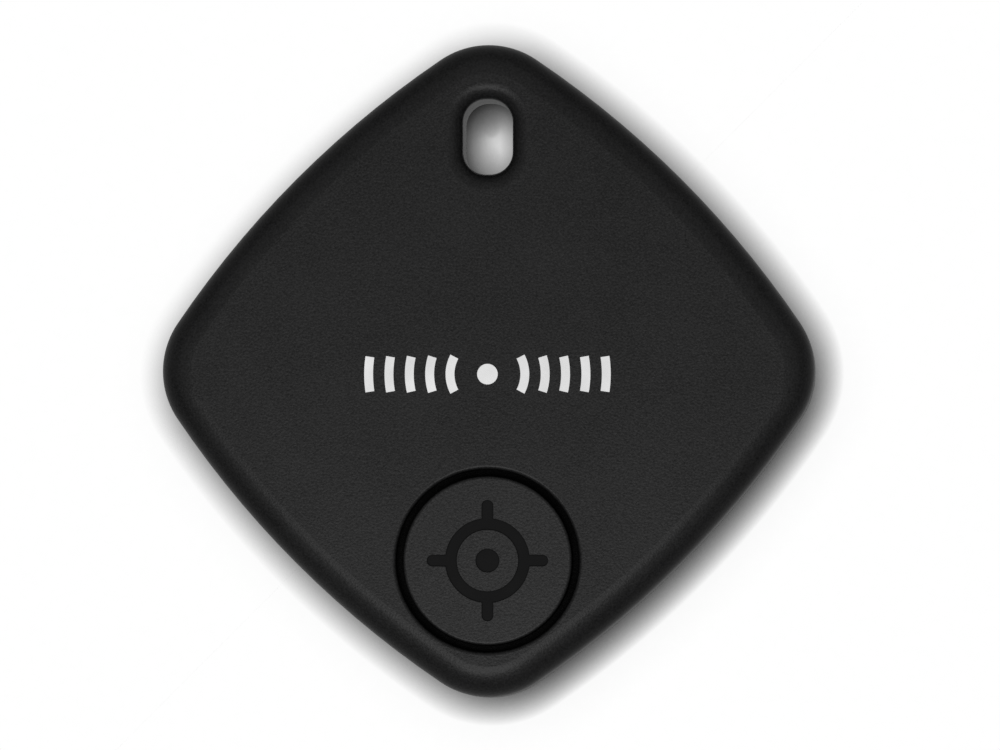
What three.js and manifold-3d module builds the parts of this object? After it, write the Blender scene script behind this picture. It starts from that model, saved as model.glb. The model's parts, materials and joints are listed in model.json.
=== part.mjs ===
// A wireless tracker tag: a rounded diamond that hangs from a key ring by the slot in its top corner.
// Its two snapped-together shells hold a coin cell, a circuit board, a piezo sounder and a push button.
//
// Millimetres. The origin is the middle of the flat back face. +Z points out of the front face,
// and +Y points from the button corner to the slot corner.

import * as THREE from "three";
import { mergeVertices } from "three/addons/utils/BufferGeometryUtils.js";
import Module from "manifold-3d";

const wasm = await Module();
wasm.setup();

// ---------------------------------------------------------------- driving dimensions

// Outline: a square standing on one corner, with bowed sides and round corners.
const HALF_FLAT = 19.0; // from the middle of the tag to the middle of a side
const SIDE_RADIUS = 68.5; // bow of each side
const CORNER_RADIUS = 5.95;
const THICKNESS = 8.0;
const EDGE_FILLET = 2.1; // round edge of both shells

// Shells.
const SEAM_Z = 2.6; // parting line between the two shells
const SEAM_GAP = 0.15;
const SEAM_CHAMFER = 0.12;
const WALL = 1.3; // side wall of the front shell
const FRONT_SKIN = 1.2;
const BACK_SKIN = 0.85;
const INNER_FILLET = 0.5;
const SEAL_CLEARANCE = 0.03; // round parts that are squeezed on the real tag
const PRY_NOTCH = { width: 4.2, depth: 1.6, height: 0.75 };

// Tongue of the rear cover, which stands inside the front shell's wall.
const TONGUE_OUTER = 1.55; // inset of its outer face from the outline
const TONGUE_INNER = 2.35;
const TONGUE_TOP = 4.1;
const BEAD_INSET = 1.38; // snap bead round the tongue
const BEAD_Z = 3.7;
const BEAD_HALF_HEIGHT = 0.15;
const GROOVE_INSET = 1.12; // groove in the front shell that the bead sits in
const GROOVE_HALF_HEIGHT = 0.22;
const TONGUE_LEAD_IN = 0.15;
const RIB = { spacing: 5, thickness: 0.7, length: 2.6, top: 2.4 }; // braces inside the tongue
const RIB_OVERLAP = 0.3; // how far a rib reaches into the tongue and the back

// Gasket round the tongue, squeezed at the parting line.
const GASKET_OUTER = 0.75;
const GASKET_INNER = 1.38;
const GASKET_BOTTOM = 2.62;
const GASKET_TOP = 3.25;
const REBATE_INSET = 0.7;
const REBATE_TOP = 3.3;

// Key ring slot.
const SLOT_WIDTH = 3.46;
const SLOT_LENGTH = 5.25;
const SLOT_Y = 16.3;
const SLOT_CORNER = 1.6;
const SLOT_FLARE = 1.1; // rounded lip at both faces
const SLOT_WALL = 1.0;
const SLOT_LIP = 0.5; // thickness of the rear tube's inner lip
const SLOT_LEDGE_Z = 3.2;
const SLOT_LIP_TOP = 3.9;
const SLOT_JOINT_GAP = 0.05;
const SLOT_SEAL_HEIGHT = 0.5;

// Push button.
const BUTTON_Y = -13.3;
const CAP_RADIUS = 5.9;
const HOLE_RADIUS = 6.38;
const HOLE_LIP = 0.25; // rounded edge of the hole
const CAP_EDGE = 0.2; // rounded edge of the cap
const FLANGE_RADIUS = 6.9;
const FLANGE_BOTTOM = 6.2;
const FLANGE_TOP = 6.68;
const FLANGE_CLEARANCE = 0.05;
const CAP_HOLLOW_RADIUS = 5.0;
const CAP_HOLLOW_TOP = 6.9;
const STEM_RADIUS = 0.95; // narrow enough to follow the plunger into the switch
const STEM_BOTTOM = 6.35;
const SEAL_PAD_INNER = 5.15;
const SEAL_PAD_OUTER = 6.1;

// Coin cell, 20 mm by 3.2 mm.
const CELL_RADIUS = 10.0;
const CELL_HEIGHT = 3.2;
const CELL_Y = 1.0;
const CELL_BOTTOM = 1.1;
const CELL_TOP = CELL_BOTTOM + CELL_HEIGHT;
const CELL_SKIN = 0.28;
const CELL_PAD_RADIUS = 7.0;
const CELL_RIB_INNER = 8.6; // low ring on the back that keeps the pad central
const CELL_RIB_OUTER = 9.1;
const CELL_RIB_TOP = BACK_SKIN + 0.18;

// Circuit board and what holds it.
const BOARD_BOTTOM = 4.6;
const BOARD_TOP = 5.35;
const BOARD_INSET = 2.6;
const BOARD_NOTCH_CLEARANCE = 0.35; // round the slot's tube
const FIT = 0.02; // clearance under parts that rest on the board
const SCREWS = [
  [8.2, 11.6],
  [-8.2, 11.6],
  [9.5, -9.8],
  [-9.5, -9.8],
];
const SCREW_HOLE = 0.8;
const PILOT_RADIUS = 0.66;
const SHANK_RADIUS = 0.62;
const HEAD_RADIUS = 1.2;
const HEAD_BOTTOM = 3.1;
const HEAD_TOP = 3.7;
const HEAD_EDGE = 0.28;
const SHANK_TOP = 6.6;
const POINT_LENGTH = 0.4;
const PILOT_TOP = 6.75;
const BOSS_RADIUS = 1.4;

// Tray that holds the cell.
const TRAY_BORE = 10.25;
const TRAY_OUTER = 11.2;
const TRAY_BOTTOM = 1.4;
const TRAY_TOP = 4.5;
const EAR_RADIUS = 1.9;
const EAR_BOTTOM = 3.75;
const ARM_WIDTH = 2.4;
const CONTACT_WINDOW = { width: 4.4, depth: 3.0, bottom: 1.9 };

// Sprung contacts for the cell, bent from strip.
const CONTACT_CLEARANCE = 0.04; // under the board, where the solder is
const NEGATIVE_LEAF = { width: 2.0, thickness: 0.1, flatHalf: 1.6, bendEnd: 3.2, tipEnd: 4.0 };
const POSITIVE_CLIP = { width: 3.0, thickness: 0.18, gap: 0.12, bottom: 2.1, footEnd: -12.8 };

// Piezo sounder, glued in a shallow seat under the front skin.
const PIEZO_Y = 3.0;
const PIEZO_RADIUS = 7.5;
const PIEZO_SEAT_RADIUS = 7.7;
const PIEZO_SEAT_DEPTH = 0.2;
const PLATE_BOTTOM = 6.7;
const PLATE_THICKNESS = 0.18;
const CERAMIC_RADIUS = 5.0;
const CERAMIC_BOTTOM = PLATE_BOTTOM - 0.22;
const GLUE_INNER = 6.4;

// Coil springs that carry the drive signal from the board up to the sounder.
const BUZZER_SPRING = { radius: 0.55, wire: 0.11, turns: 4 };
const OUTER_SPRING_PLACE = [-4.4, 7.4]; // under the brass plate's rim
const INNER_SPRING_PLACE = [2.0, 4.5]; // under the ceramic

// Tactile switch under the button.
const SWITCH_SIZE = 4.2;
const SWITCH_TOP = 6.02;
const CAVITY_RADIUS = 1.8;
const CAVITY_FLOOR = 5.5;
const COVER_GAP = 0.01;
const COVER_THICKNESS = 0.1;
const COVER_HOLE = 1.12;
const PLUNGER_RADIUS = 1.0;
const PLUNGER_BASE_RADIUS = 1.5;
const PLUNGER_BOTTOM = 5.81;
const PLUNGER_SHOULDER = 5.96;
const PLUNGER_TOP = 6.3;

// Facets. Round shapes are many-sided prisms.
const CORNER_FACETS = 8;
const SIDE_FACETS = 4;
const FILLET_FACETS = 4;
const SLOT_FACETS = 5; // for each corner of the slot
const DISC_FACETS = 40;
const SMALL_FACETS = 20;
const BEYOND = 1; // how far a cutting shape runs past the face that it cuts

// ---------------------------------------------------------------- outline geometry

const QUARTER = Math.PI / 2;
const INNER_CEILING = THICKNESS - FRONT_SKIN;
const SIDE_CENTRE = HALF_FLAT - SIDE_RADIUS; // along the side's normal, behind the middle

// The corner arc touches both neighbouring side arcs, which fixes where its centre lies.
const CORNER_CENTRE =
  (SIDE_CENTRE + Math.sqrt(2 * (SIDE_RADIUS - CORNER_RADIUS) ** 2 - SIDE_CENTRE ** 2)) / 2;
const CORNER_REACH = CORNER_CENTRE * Math.SQRT2;
const SIDE_HALF_SPAN = Math.atan2(CORNER_CENTRE, CORNER_CENTRE - SIDE_CENTRE);
const CORNER_HALF_SPAN = QUARTER / 2 - SIDE_HALF_SPAN;

// A point on an arc, given the arc's centre as a distance along a direction.
function arcPoint(direction, distance, radius, angle) {
  return new THREE.Vector2(
    distance * Math.cos(direction) + radius * Math.cos(angle),
    distance * Math.sin(direction) + radius * Math.sin(angle),
  );
}

// The tag's outline moved inwards by inset, counter-clockwise.
function tagOutline(inset) {
  const points = [];
  for (let quarter = 0; quarter < 4; quarter++) {
    const corner = quarter * QUARTER;
    for (let i = 0; i <= CORNER_FACETS; i++) {
      const angle = corner + CORNER_HALF_SPAN * ((2 * i) / CORNER_FACETS - 1);
      points.push(arcPoint(corner, CORNER_REACH, CORNER_RADIUS - inset, angle));
    }
    const side = corner + QUARTER / 2;
    for (let i = 1; i < SIDE_FACETS; i++) {
      const angle = side + SIDE_HALF_SPAN * ((2 * i) / SIDE_FACETS - 1);
      points.push(arcPoint(side, SIDE_CENTRE, SIDE_RADIUS - inset, angle));
    }
  }
  return points;
}

// The key ring slot's outline grown outwards by growth, counter-clockwise.
function slotOutline(growth) {
  const acrossX = SLOT_WIDTH / 2 - SLOT_CORNER;
  const acrossY = SLOT_LENGTH / 2 - SLOT_CORNER;
  const corners = [[1, 1], [-1, 1], [-1, -1], [1, -1]];
  return corners.flatMap(([x, y], quarter) =>
    Array.from({ length: SLOT_FACETS + 1 }, (_, i) => {
      const angle = (quarter + i / SLOT_FACETS) * QUARTER;
      return new THREE.Vector2(
        x * acrossX + (SLOT_CORNER + growth) * Math.cos(angle),
        SLOT_Y + y * acrossY + (SLOT_CORNER + growth) * Math.sin(angle),
      );
    }),
  );
}

// Quarter-circle steps from 0 to 1, as [sine, cosine] pairs.
function quarterSteps(count) {
  return Array.from({ length: count + 1 }, (_, i) => {
    const angle = (i / count) * QUARTER;
    return [Math.sin(angle), Math.cos(angle)];
  });
}

// ---------------------------------------------------------------- solids

// A solid whose skin runs through rings of equal point count: [outline points, z].
// An open stack of rings is capped at both ends; a closed one runs back to its first ring.
function loft(rings, closed = false) {
  const count = rings[0][0].length;
  const positions = rings.flatMap(([points, z]) => points.flatMap((p) => [p.x, p.y, z]));
  const faces = [];
  const levels = closed ? rings.length : rings.length - 1;
  for (let level = 0; level < levels; level++) {
    const here = level * count;
    const next = ((level + 1) % rings.length) * count;
    for (let i = 0; i < count; i++) {
      const j = (i + 1) % count;
      faces.push(here + i, here + j, next + j, here + i, next + j, next + i);
    }
  }
  if (!closed) {
    const last = (rings.length - 1) * count;
    for (const [a, b, c] of THREE.ShapeUtils.triangulateShape(rings[0][0], [])) {
      faces.push(a, c, b);
    }
    for (const [a, b, c] of THREE.ShapeUtils.triangulateShape(rings.at(-1)[0], [])) {
      faces.push(last + a, last + b, last + c);
    }
  }
  const geometry = new THREE.BufferGeometry();
  geometry.setAttribute("position", new THREE.Float32BufferAttribute(positions, 3));
  geometry.setIndex(faces);
  return geometry;
}

// The same, from a profile of [inset from the tag's outline, z] pairs.
function tagLoft(profile, closed) {
  return loft(profile.map(([inset, z]) => [tagOutline(inset), z]), closed);
}

// The same, from a profile of [growth of the slot's outline, z] pairs.
function slotLoft(profile, closed) {
  return loft(profile.map(([growth, z]) => [slotOutline(growth), z]), closed);
}

// A solid of revolution about a vertical line, from [radius, z] pairs.
function turned(profile, x = 0, y = 0, facets = DISC_FACETS) {
  const points = profile.map(([radius, z]) => new THREE.Vector2(radius, z));
  return new THREE.LatheGeometry(points, facets).rotateX(QUARTER).translate(x, y, 0);
}

// A ring of rectangular section.
function ring(inner, outer, bottom, top, x = 0, y = 0, facets = DISC_FACETS) {
  const section = [[inner, bottom], [outer, bottom], [outer, top], [inner, top], [inner, bottom]];
  return turned(section, x, y, facets);
}

function disc(radius, bottom, top, x = 0, y = 0, facets = DISC_FACETS) {
  return turned([[0, bottom], [radius, bottom], [radius, top], [0, top]], x, y, facets);
}

function block(width, depth, bottom, top, x = 0, y = 0) {
  const height = top - bottom;
  return new THREE.BoxGeometry(width, depth, height).translate(x, y, bottom + height / 2);
}

// A flat strip bent along a path in the X-Z plane, as deep as depth along Y.
function bentStrip(path, depth, y) {
  const outline = new THREE.Shape(path.map(([x, z]) => new THREE.Vector2(x, z)));
  const strip = new THREE.ExtrudeGeometry(outline, { depth, bevelEnabled: false });
  return strip.rotateX(QUARTER).translate(0, y + depth / 2, 0);
}

class Helix extends THREE.Curve {
  constructor(radius, bottom, top, turns) {
    super();
    Object.assign(this, { radius, bottom, top, turns });
  }

  getPoint(t, target = new THREE.Vector3()) {
    const angle = t * this.turns * 2 * Math.PI;
    const z = THREE.MathUtils.lerp(this.bottom, this.top, t);
    return target.set(this.radius * Math.cos(angle), this.radius * Math.sin(angle), z);
  }
}

function coilSpring(radius, wire, bottom, top, turns, x, y) {
  const section = new THREE.Shape().absarc(0, 0, wire, 0, 2 * Math.PI);
  const extrudePath = new Helix(radius, bottom + wire, top - wire, turns);
  const options = { steps: turns * 8, curveSegments: 3, extrudePath };
  return new THREE.ExtrudeGeometry(section, options).translate(x, y, 0);
}

// Booleans, on merged triangles without the slivers that a lathe leaves at its axis.
function toSolid(geometry) {
  const bare = geometry.clone();
  bare.deleteAttribute("normal");
  bare.deleteAttribute("uv");
  const merged = mergeVertices(bare, 1e-4);
  const kept = [];
  for (let i = 0; i < merged.index.count; i += 3) {
    const [a, b, c] = [0, 1, 2].map((k) => merged.index.getX(i + k));
    if (a !== b && b !== c && c !== a) {
      kept.push(a, b, c);
    }
  }
  const mesh = new wasm.Mesh({
    numProp: 3,
    vertProperties: merged.attributes.position.array,
    triVerts: new Uint32Array(kept),
  });
  return new wasm.Manifold(mesh);
}

function toGeometry(solid) {
  const mesh = solid.getMesh();
  const geometry = new THREE.BufferGeometry();
  geometry.setAttribute("position", new THREE.BufferAttribute(mesh.vertProperties, 3));
  geometry.setIndex(new THREE.BufferAttribute(mesh.triVerts, 1));
  return geometry;
}

function cut(body, ...tools) {
  return toGeometry(tools.reduce((rest, tool) => rest.subtract(toSolid(tool)), toSolid(body)));
}

function join(...bodies) {
  return toGeometry(bodies.map(toSolid).reduce((whole, body) => whole.add(body)));
}

// ---------------------------------------------------------------- shared shapes

// The space of the key ring slot, flared at both faces.
function slotSpace() {
  const flare = quarterSteps(FILLET_FACETS);
  const lower = flare.map(([sine, cosine]) => [
    SLOT_FLARE * (1 - sine),
    SLOT_FLARE * (1 - cosine),
  ]);
  const upper = lower.map(([growth, z]) => [growth, THICKNESS - z]).reverse();
  return slotLoft([[SLOT_FLARE, -BEYOND], ...lower, ...upper, [SLOT_FLARE, THICKNESS + BEYOND]]);
}

// Short ribs that brace the tongue, three to a side.
function tongueRibs() {
  const distance = HALF_FLAT - TONGUE_INNER - RIB.length / 2 + RIB_OVERLAP;
  const bottom = BACK_SKIN - RIB_OVERLAP;
  const ribs = [];
  for (let side = 0; side < 4; side++) {
    for (const along of [-RIB.spacing, 0, RIB.spacing]) {
      const rib = block(RIB.length, RIB.thickness, bottom, RIB.top, distance, along);
      ribs.push(rib.rotateZ(QUARTER / 2 + side * QUARTER));
    }
  }
  return ribs;
}

// Clearance holes for the four tray screws.
function screwHoles(bottom, top) {
  return SCREWS.map(([x, y]) =>
    disc(SCREW_HOLE, bottom - BEYOND, top + BEYOND, x, y, SMALL_FACETS / 2),
  );
}

// ---------------------------------------------------------------- rear half

function rearCover() {
  const edge = quarterSteps(FILLET_FACETS).map(([sine, cosine]) => [
    EDGE_FILLET * (1 - sine),
    EDGE_FILLET * (1 - cosine),
  ]);
  const rimTop = SEAM_Z - SEAM_GAP / 2;
  const shell = tagLoft([
    ...edge,
    [0, rimTop - SEAM_CHAMFER],
    [SEAM_CHAMFER, rimTop],
    [TONGUE_OUTER, rimTop],
    [TONGUE_OUTER, BEAD_Z - BEAD_HALF_HEIGHT],
    [BEAD_INSET, BEAD_Z],
    [TONGUE_OUTER, BEAD_Z + BEAD_HALF_HEIGHT],
    [TONGUE_OUTER, TONGUE_TOP - TONGUE_LEAD_IN],
    [TONGUE_OUTER + TONGUE_LEAD_IN, TONGUE_TOP],
    [TONGUE_INNER, TONGUE_TOP],
    [TONGUE_INNER, BACK_SKIN + INNER_FILLET],
    [TONGUE_INNER + INNER_FILLET, BACK_SKIN],
  ]);
  const tube = slotLoft([
    [SLOT_WALL, BACK_SKIN / 2],
    [SLOT_WALL, SLOT_LEDGE_Z],
    [SLOT_LIP, SLOT_LEDGE_Z],
    [SLOT_LIP, SLOT_LIP_TOP],
  ]);
  const cellRib = ring(CELL_RIB_INNER, CELL_RIB_OUTER, BACK_SKIN / 2, CELL_RIB_TOP, 0, CELL_Y);
  const { width, depth, height } = PRY_NOTCH;
  const pryNotch = block(width, depth, SEAM_Z - height, SEAM_Z, 0, CORNER_REACH + CORNER_RADIUS);
  return cut(join(shell, tube, cellRib, ...tongueRibs()), slotSpace(), pryNotch);
}

function perimeterGasket() {
  return tagLoft(
    [
      [GASKET_OUTER, GASKET_BOTTOM],
      [GASKET_OUTER, GASKET_TOP],
      [GASKET_INNER, GASKET_TOP],
      [GASKET_INNER, GASKET_BOTTOM],
    ],
    true,
  );
}

function slotSealRing() {
  const outer = SLOT_WALL - SEAL_CLEARANCE;
  const inner = SLOT_LIP + SEAL_CLEARANCE;
  const bottom = SLOT_LEDGE_Z + SEAL_CLEARANCE;
  const top = SLOT_LEDGE_Z + SLOT_SEAL_HEIGHT;
  return slotLoft([[outer, bottom], [outer, top], [inner, top], [inner, bottom]], true);
}

function cellPad() {
  return disc(CELL_PAD_RADIUS, BACK_SKIN + FIT, CELL_BOTTOM - FIT, 0, CELL_Y);
}

// ---------------------------------------------------------------- front half

function frontShell() {
  const edge = quarterSteps(FILLET_FACETS).map(([sine, cosine]) => [
    EDGE_FILLET * (1 - cosine),
    THICKNESS - EDGE_FILLET * (1 - sine),
  ]);
  const rimBottom = SEAM_Z + SEAM_GAP / 2;
  const shell = tagLoft([
    [WALL + INNER_FILLET, INNER_CEILING],
    [WALL, INNER_CEILING - INNER_FILLET],
    [WALL, BEAD_Z + GROOVE_HALF_HEIGHT],
    [GROOVE_INSET, BEAD_Z],
    [WALL, BEAD_Z - GROOVE_HALF_HEIGHT],
    [WALL, REBATE_TOP],
    [REBATE_INSET, REBATE_TOP],
    [REBATE_INSET, rimBottom],
    [SEAM_CHAMFER, rimBottom],
    [0, rimBottom + SEAM_CHAMFER],
    ...edge,
  ]);
  const skirtBottom = SLOT_LIP_TOP + SLOT_JOINT_GAP;
  const tubeTop = INNER_CEILING + FRONT_SKIN / 2;
  const tubeBottom = SLOT_LEDGE_Z + SLOT_SEAL_HEIGHT + SEAL_CLEARANCE;
  const tube = slotLoft([[SLOT_WALL, tubeBottom], [SLOT_WALL, tubeTop]]);
  const lipGrowth = SLOT_LIP + SLOT_JOINT_GAP;
  const lipSpace = slotLoft([[lipGrowth, 0], [lipGrowth, skirtBottom]]);
  const bosses = SCREWS.map(([x, y]) =>
    disc(BOSS_RADIUS, BOARD_TOP + FIT, tubeTop, x, y, SMALL_FACETS),
  );
  const pilots = SCREWS.map(([x, y]) =>
    disc(PILOT_RADIUS, BOARD_TOP, PILOT_TOP, x, y, SMALL_FACETS / 2),
  );
  const lip = quarterSteps(FILLET_FACETS).map(([sine, cosine]) => [
    HOLE_RADIUS + HOLE_LIP * (1 - cosine),
    THICKNESS - HOLE_LIP * (1 - sine),
  ]);
  const buttonHole = turned(
    [
      [0, INNER_CEILING - BEYOND],
      [HOLE_RADIUS, INNER_CEILING - BEYOND],
      ...lip,
      [HOLE_RADIUS + HOLE_LIP, THICKNESS + BEYOND],
      [0, THICKNESS + BEYOND],
    ],
    0,
    BUTTON_Y,
  );
  const seatTop = INNER_CEILING + PIEZO_SEAT_DEPTH;
  const piezoSeat = disc(PIEZO_SEAT_RADIUS, INNER_CEILING - BEYOND, seatTop, 0, PIEZO_Y);
  return cut(
    join(shell, cut(tube, lipSpace), ...bosses),
    slotSpace(),
    buttonHole,
    piezoSeat,
    ...pilots,
  );
}

function buttonCap() {
  const edge = quarterSteps(2).map(([sine, cosine]) => [
    CAP_RADIUS - CAP_EDGE * (1 - cosine),
    THICKNESS - CAP_EDGE * (1 - sine),
  ]);
  return turned(
    [
      [0, STEM_BOTTOM],
      [STEM_RADIUS, STEM_BOTTOM],
      [STEM_RADIUS, CAP_HOLLOW_TOP],
      [CAP_HOLLOW_RADIUS, CAP_HOLLOW_TOP],
      [CAP_HOLLOW_RADIUS, FLANGE_BOTTOM],
      [FLANGE_RADIUS, FLANGE_BOTTOM],
      [FLANGE_RADIUS, FLANGE_TOP],
      [CAP_RADIUS, FLANGE_TOP],
      ...edge,
      [0, THICKNESS],
    ],
    0,
    BUTTON_Y,
  );
}

function buttonSealPad() {
  const bottom = BOARD_TOP + SEAL_CLEARANCE;
  const top = FLANGE_BOTTOM - FLANGE_CLEARANCE;
  return ring(SEAL_PAD_INNER, SEAL_PAD_OUTER, bottom, top, 0, BUTTON_Y);
}

function circuitBoard() {
  const board = tagLoft([[BOARD_INSET, BOARD_BOTTOM], [BOARD_INSET, BOARD_TOP]]);
  const round = SLOT_WALL + BOARD_NOTCH_CLEARANCE;
  const notchEnd = SLOT_Y - SLOT_LENGTH / 2 - round;
  const notchLength = HALF_FLAT;
  const notch = block(
    SLOT_WIDTH + 2 * round,
    notchLength,
    BOARD_BOTTOM - BEYOND,
    BOARD_TOP + BEYOND,
    0,
    notchEnd + notchLength / 2,
  );
  return cut(board, notch, ...screwHoles(BOARD_BOTTOM, BOARD_TOP));
}

function batteryTray() {
  const parts = [disc(TRAY_OUTER, TRAY_BOTTOM, TRAY_TOP, 0, CELL_Y)];
  for (const [x, y] of SCREWS) {
    const reach = Math.hypot(x, y - CELL_Y);
    const arm = block(reach, ARM_WIDTH, EAR_BOTTOM, TRAY_TOP, reach / 2, 0);
    arm.rotateZ(Math.atan2(y - CELL_Y, x)).translate(0, CELL_Y, 0);
    parts.push(arm, disc(EAR_RADIUS, EAR_BOTTOM, TRAY_TOP, x, y, SMALL_FACETS));
  }
  const bore = disc(TRAY_BORE, TRAY_BOTTOM - BEYOND, TRAY_TOP + BEYOND, 0, CELL_Y);
  const window = block(
    CONTACT_WINDOW.depth,
    CONTACT_WINDOW.width,
    CONTACT_WINDOW.bottom,
    TRAY_TOP + BEYOND,
    -TRAY_OUTER,
    CELL_Y,
  );
  return cut(join(...parts), bore, window, ...screwHoles(EAR_BOTTOM, TRAY_TOP));
}

function trayScrew(x, y) {
  return turned(
    [
      [0, HEAD_BOTTOM],
      [HEAD_RADIUS - HEAD_EDGE, HEAD_BOTTOM],
      [HEAD_RADIUS, HEAD_BOTTOM + HEAD_EDGE],
      [HEAD_RADIUS, HEAD_TOP],
      [SHANK_RADIUS, HEAD_TOP],
      [SHANK_RADIUS, SHANK_TOP - POINT_LENGTH],
      [0, SHANK_TOP],
    ],
    x,
    y,
    12,
  );
}

// ---------------------------------------------------------------- contacts, sounder and switch

// Leaf spring under the board; both ends press on the cell's negative cap.
function negativeContact() {
  const { width, thickness, flatHalf, bendEnd, tipEnd } = NEGATIVE_LEAF;
  const low = CELL_TOP + SEAL_CLEARANCE;
  const high = BOARD_BOTTOM - CONTACT_CLEARANCE - thickness;
  const underside = [
    [-tipEnd, low],
    [-bendEnd, low],
    [-flatHalf, high],
    [flatHalf, high],
    [bendEnd, low],
    [tipEnd, low],
  ];
  const upperside = underside.map(([x, z]) => [x, z + thickness]).reverse();
  return bentStrip([...underside, ...upperside], width, CELL_Y);
}

// Bent strip that presses on the side of the can and is soldered under the board.
function positiveContact() {
  const { width, thickness, gap, bottom, footEnd } = POSITIVE_CLIP;
  const leafInner = -CELL_RADIUS - gap;
  const leafOuter = leafInner - thickness;
  const footTop = BOARD_BOTTOM - CONTACT_CLEARANCE;
  const footBottom = footTop - thickness;
  return bentStrip(
    [
      [footEnd, footBottom],
      [leafOuter, footBottom],
      [leafOuter, bottom],
      [leafInner, bottom],
      [leafInner, footTop],
      [footEnd, footTop],
    ],
    width,
    CELL_Y,
  );
}

function piezoPlate() {
  return disc(PIEZO_RADIUS, PLATE_BOTTOM, PLATE_BOTTOM + PLATE_THICKNESS, 0, PIEZO_Y);
}

function piezoCeramic() {
  return disc(CERAMIC_RADIUS, CERAMIC_BOTTOM, PLATE_BOTTOM - FIT, 0, PIEZO_Y);
}

function piezoGlue() {
  const bottom = PLATE_BOTTOM + PLATE_THICKNESS + FIT;
  const top = INNER_CEILING + PIEZO_SEAT_DEPTH - FIT;
  return ring(GLUE_INNER, PIEZO_RADIUS, bottom, top, 0, PIEZO_Y);
}

function buzzerSpring(top, [x, y]) {
  const { radius, wire, turns } = BUZZER_SPRING;
  return coilSpring(radius, wire, BOARD_TOP + FIT, top, turns, x, y);
}

function switchHousing() {
  const housing = block(SWITCH_SIZE, SWITCH_SIZE, BOARD_TOP + FIT, SWITCH_TOP, 0, BUTTON_Y);
  const cavityTop = SWITCH_TOP + BEYOND;
  return cut(housing, disc(CAVITY_RADIUS, CAVITY_FLOOR, cavityTop, 0, BUTTON_Y, SMALL_FACETS));
}

function switchCoverPlate() {
  const bottom = SWITCH_TOP + COVER_GAP;
  const top = bottom + COVER_THICKNESS;
  const plate = block(SWITCH_SIZE, SWITCH_SIZE, bottom, top, 0, BUTTON_Y);
  return cut(plate, disc(COVER_HOLE, bottom - BEYOND, top + BEYOND, 0, BUTTON_Y, SMALL_FACETS));
}

// Thin sprung dome in the bottom of the switch. It snaps through under the plunger.
function switchDome() {
  const outside = [[1.6, 5.53], [1.3, 5.66], [0.7, 5.75], [0, 5.78]];
  const inside = [[0, 5.7], [0.7, 5.67], [1.25, 5.58], [1.5, 5.53]];
  return turned([...inside, ...outside], 0, BUTTON_Y, SMALL_FACETS);
}

function switchPlunger() {
  return turned(
    [
      [0, PLUNGER_BOTTOM],
      [PLUNGER_BASE_RADIUS, PLUNGER_BOTTOM],
      [PLUNGER_BASE_RADIUS, PLUNGER_SHOULDER],
      [PLUNGER_RADIUS, PLUNGER_SHOULDER],
      [PLUNGER_RADIUS, PLUNGER_TOP],
      [0, PLUNGER_TOP],
    ],
    0,
    BUTTON_Y,
    SMALL_FACETS,
  );
}

// ---------------------------------------------------------------- coin cell

function cellCan() {
  const inner = CELL_RADIUS - CELL_SKIN;
  return turned(
    [
      [0, CELL_BOTTOM],
      [CELL_RADIUS - 0.3, CELL_BOTTOM],
      [CELL_RADIUS, CELL_BOTTOM + 0.3],
      [CELL_RADIUS, CELL_TOP - 0.55],
      [CELL_RADIUS - 0.6, CELL_TOP - 0.2],
      [CELL_RADIUS - 0.65, CELL_TOP - 0.4],
      [inner, CELL_TOP - 0.65],
      [inner, CELL_BOTTOM + CELL_SKIN],
      [0, CELL_BOTTOM + CELL_SKIN],
    ],
    0,
    CELL_Y,
  );
}

function cellCap() {
  return turned(
    [
      [0, CELL_TOP - CELL_SKIN],
      [8.3, CELL_TOP - CELL_SKIN],
      [8.6, CELL_TOP - 0.6],
      [8.8, CELL_BOTTOM + 0.7],
      [9.05, CELL_BOTTOM + 0.7],
      [9.0, CELL_TOP - 0.6],
      [8.6, CELL_TOP - 0.05],
      [8.4, CELL_TOP],
      [0, CELL_TOP],
    ],
    0,
    CELL_Y,
  );
}

function cellSealRing() {
  return turned(
    [
      [9.15, CELL_BOTTOM + 0.45],
      [9.65, CELL_BOTTOM + 0.45],
      [9.65, CELL_TOP - 0.75],
      [9.25, CELL_TOP - 0.35],
      [9.1, CELL_TOP - 0.4],
      [9.15, CELL_BOTTOM + 0.45],
    ],
    0,
    CELL_Y,
  );
}

function cellCathode() {
  return disc(8.4, CELL_BOTTOM + CELL_SKIN + FIT, CELL_BOTTOM + 1.95, 0, CELL_Y);
}

function cellAnode() {
  return disc(8.0, CELL_BOTTOM + 2.15, CELL_TOP - CELL_SKIN - FIT, 0, CELL_Y);
}

// ---------------------------------------------------------------- board components

// [name, kind, x, y, quarter turns]; the long side runs along X until it is turned.
const COMPONENTS = [
  ["radio_chip", "chip", -11.4, 3.4, 0],
  ["main_crystal", "crystal", -12.2, -1.6, 0],
  ["clock_crystal", "watchCrystal", -9.2, -4.0, 1],
  ["chip_antenna", "antenna", 16.6, 0, 1],
  ["boost_inductor", "inductor", 10.6, -3.0, 0],
  ["driver_transistor", "transistor", 10.9, 2.6, 0],
  ["capacitor_1", "capacitor", -15.6, 1.6, 1],
  ["capacitor_2", "capacitor", -14.9, -1.6, 1],
  ["capacitor_3", "capacitor", -11.4, 7.4, 0],
  ["capacitor_4", "capacitor", 13.4, -2.6, 1],
  ["capacitor_5", "capacitor", 7.6, -6.0, 0],
  ["capacitor_6", "capacitor", 13.6, 2.2, 1],
  ["resistor_1", "resistor", -6.4, -7.6, 0],
  ["resistor_2", "resistor", 10.9, 5.4, 0],
  ["resistor_3", "resistor", 3.6, -6.2, 0],
];

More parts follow.
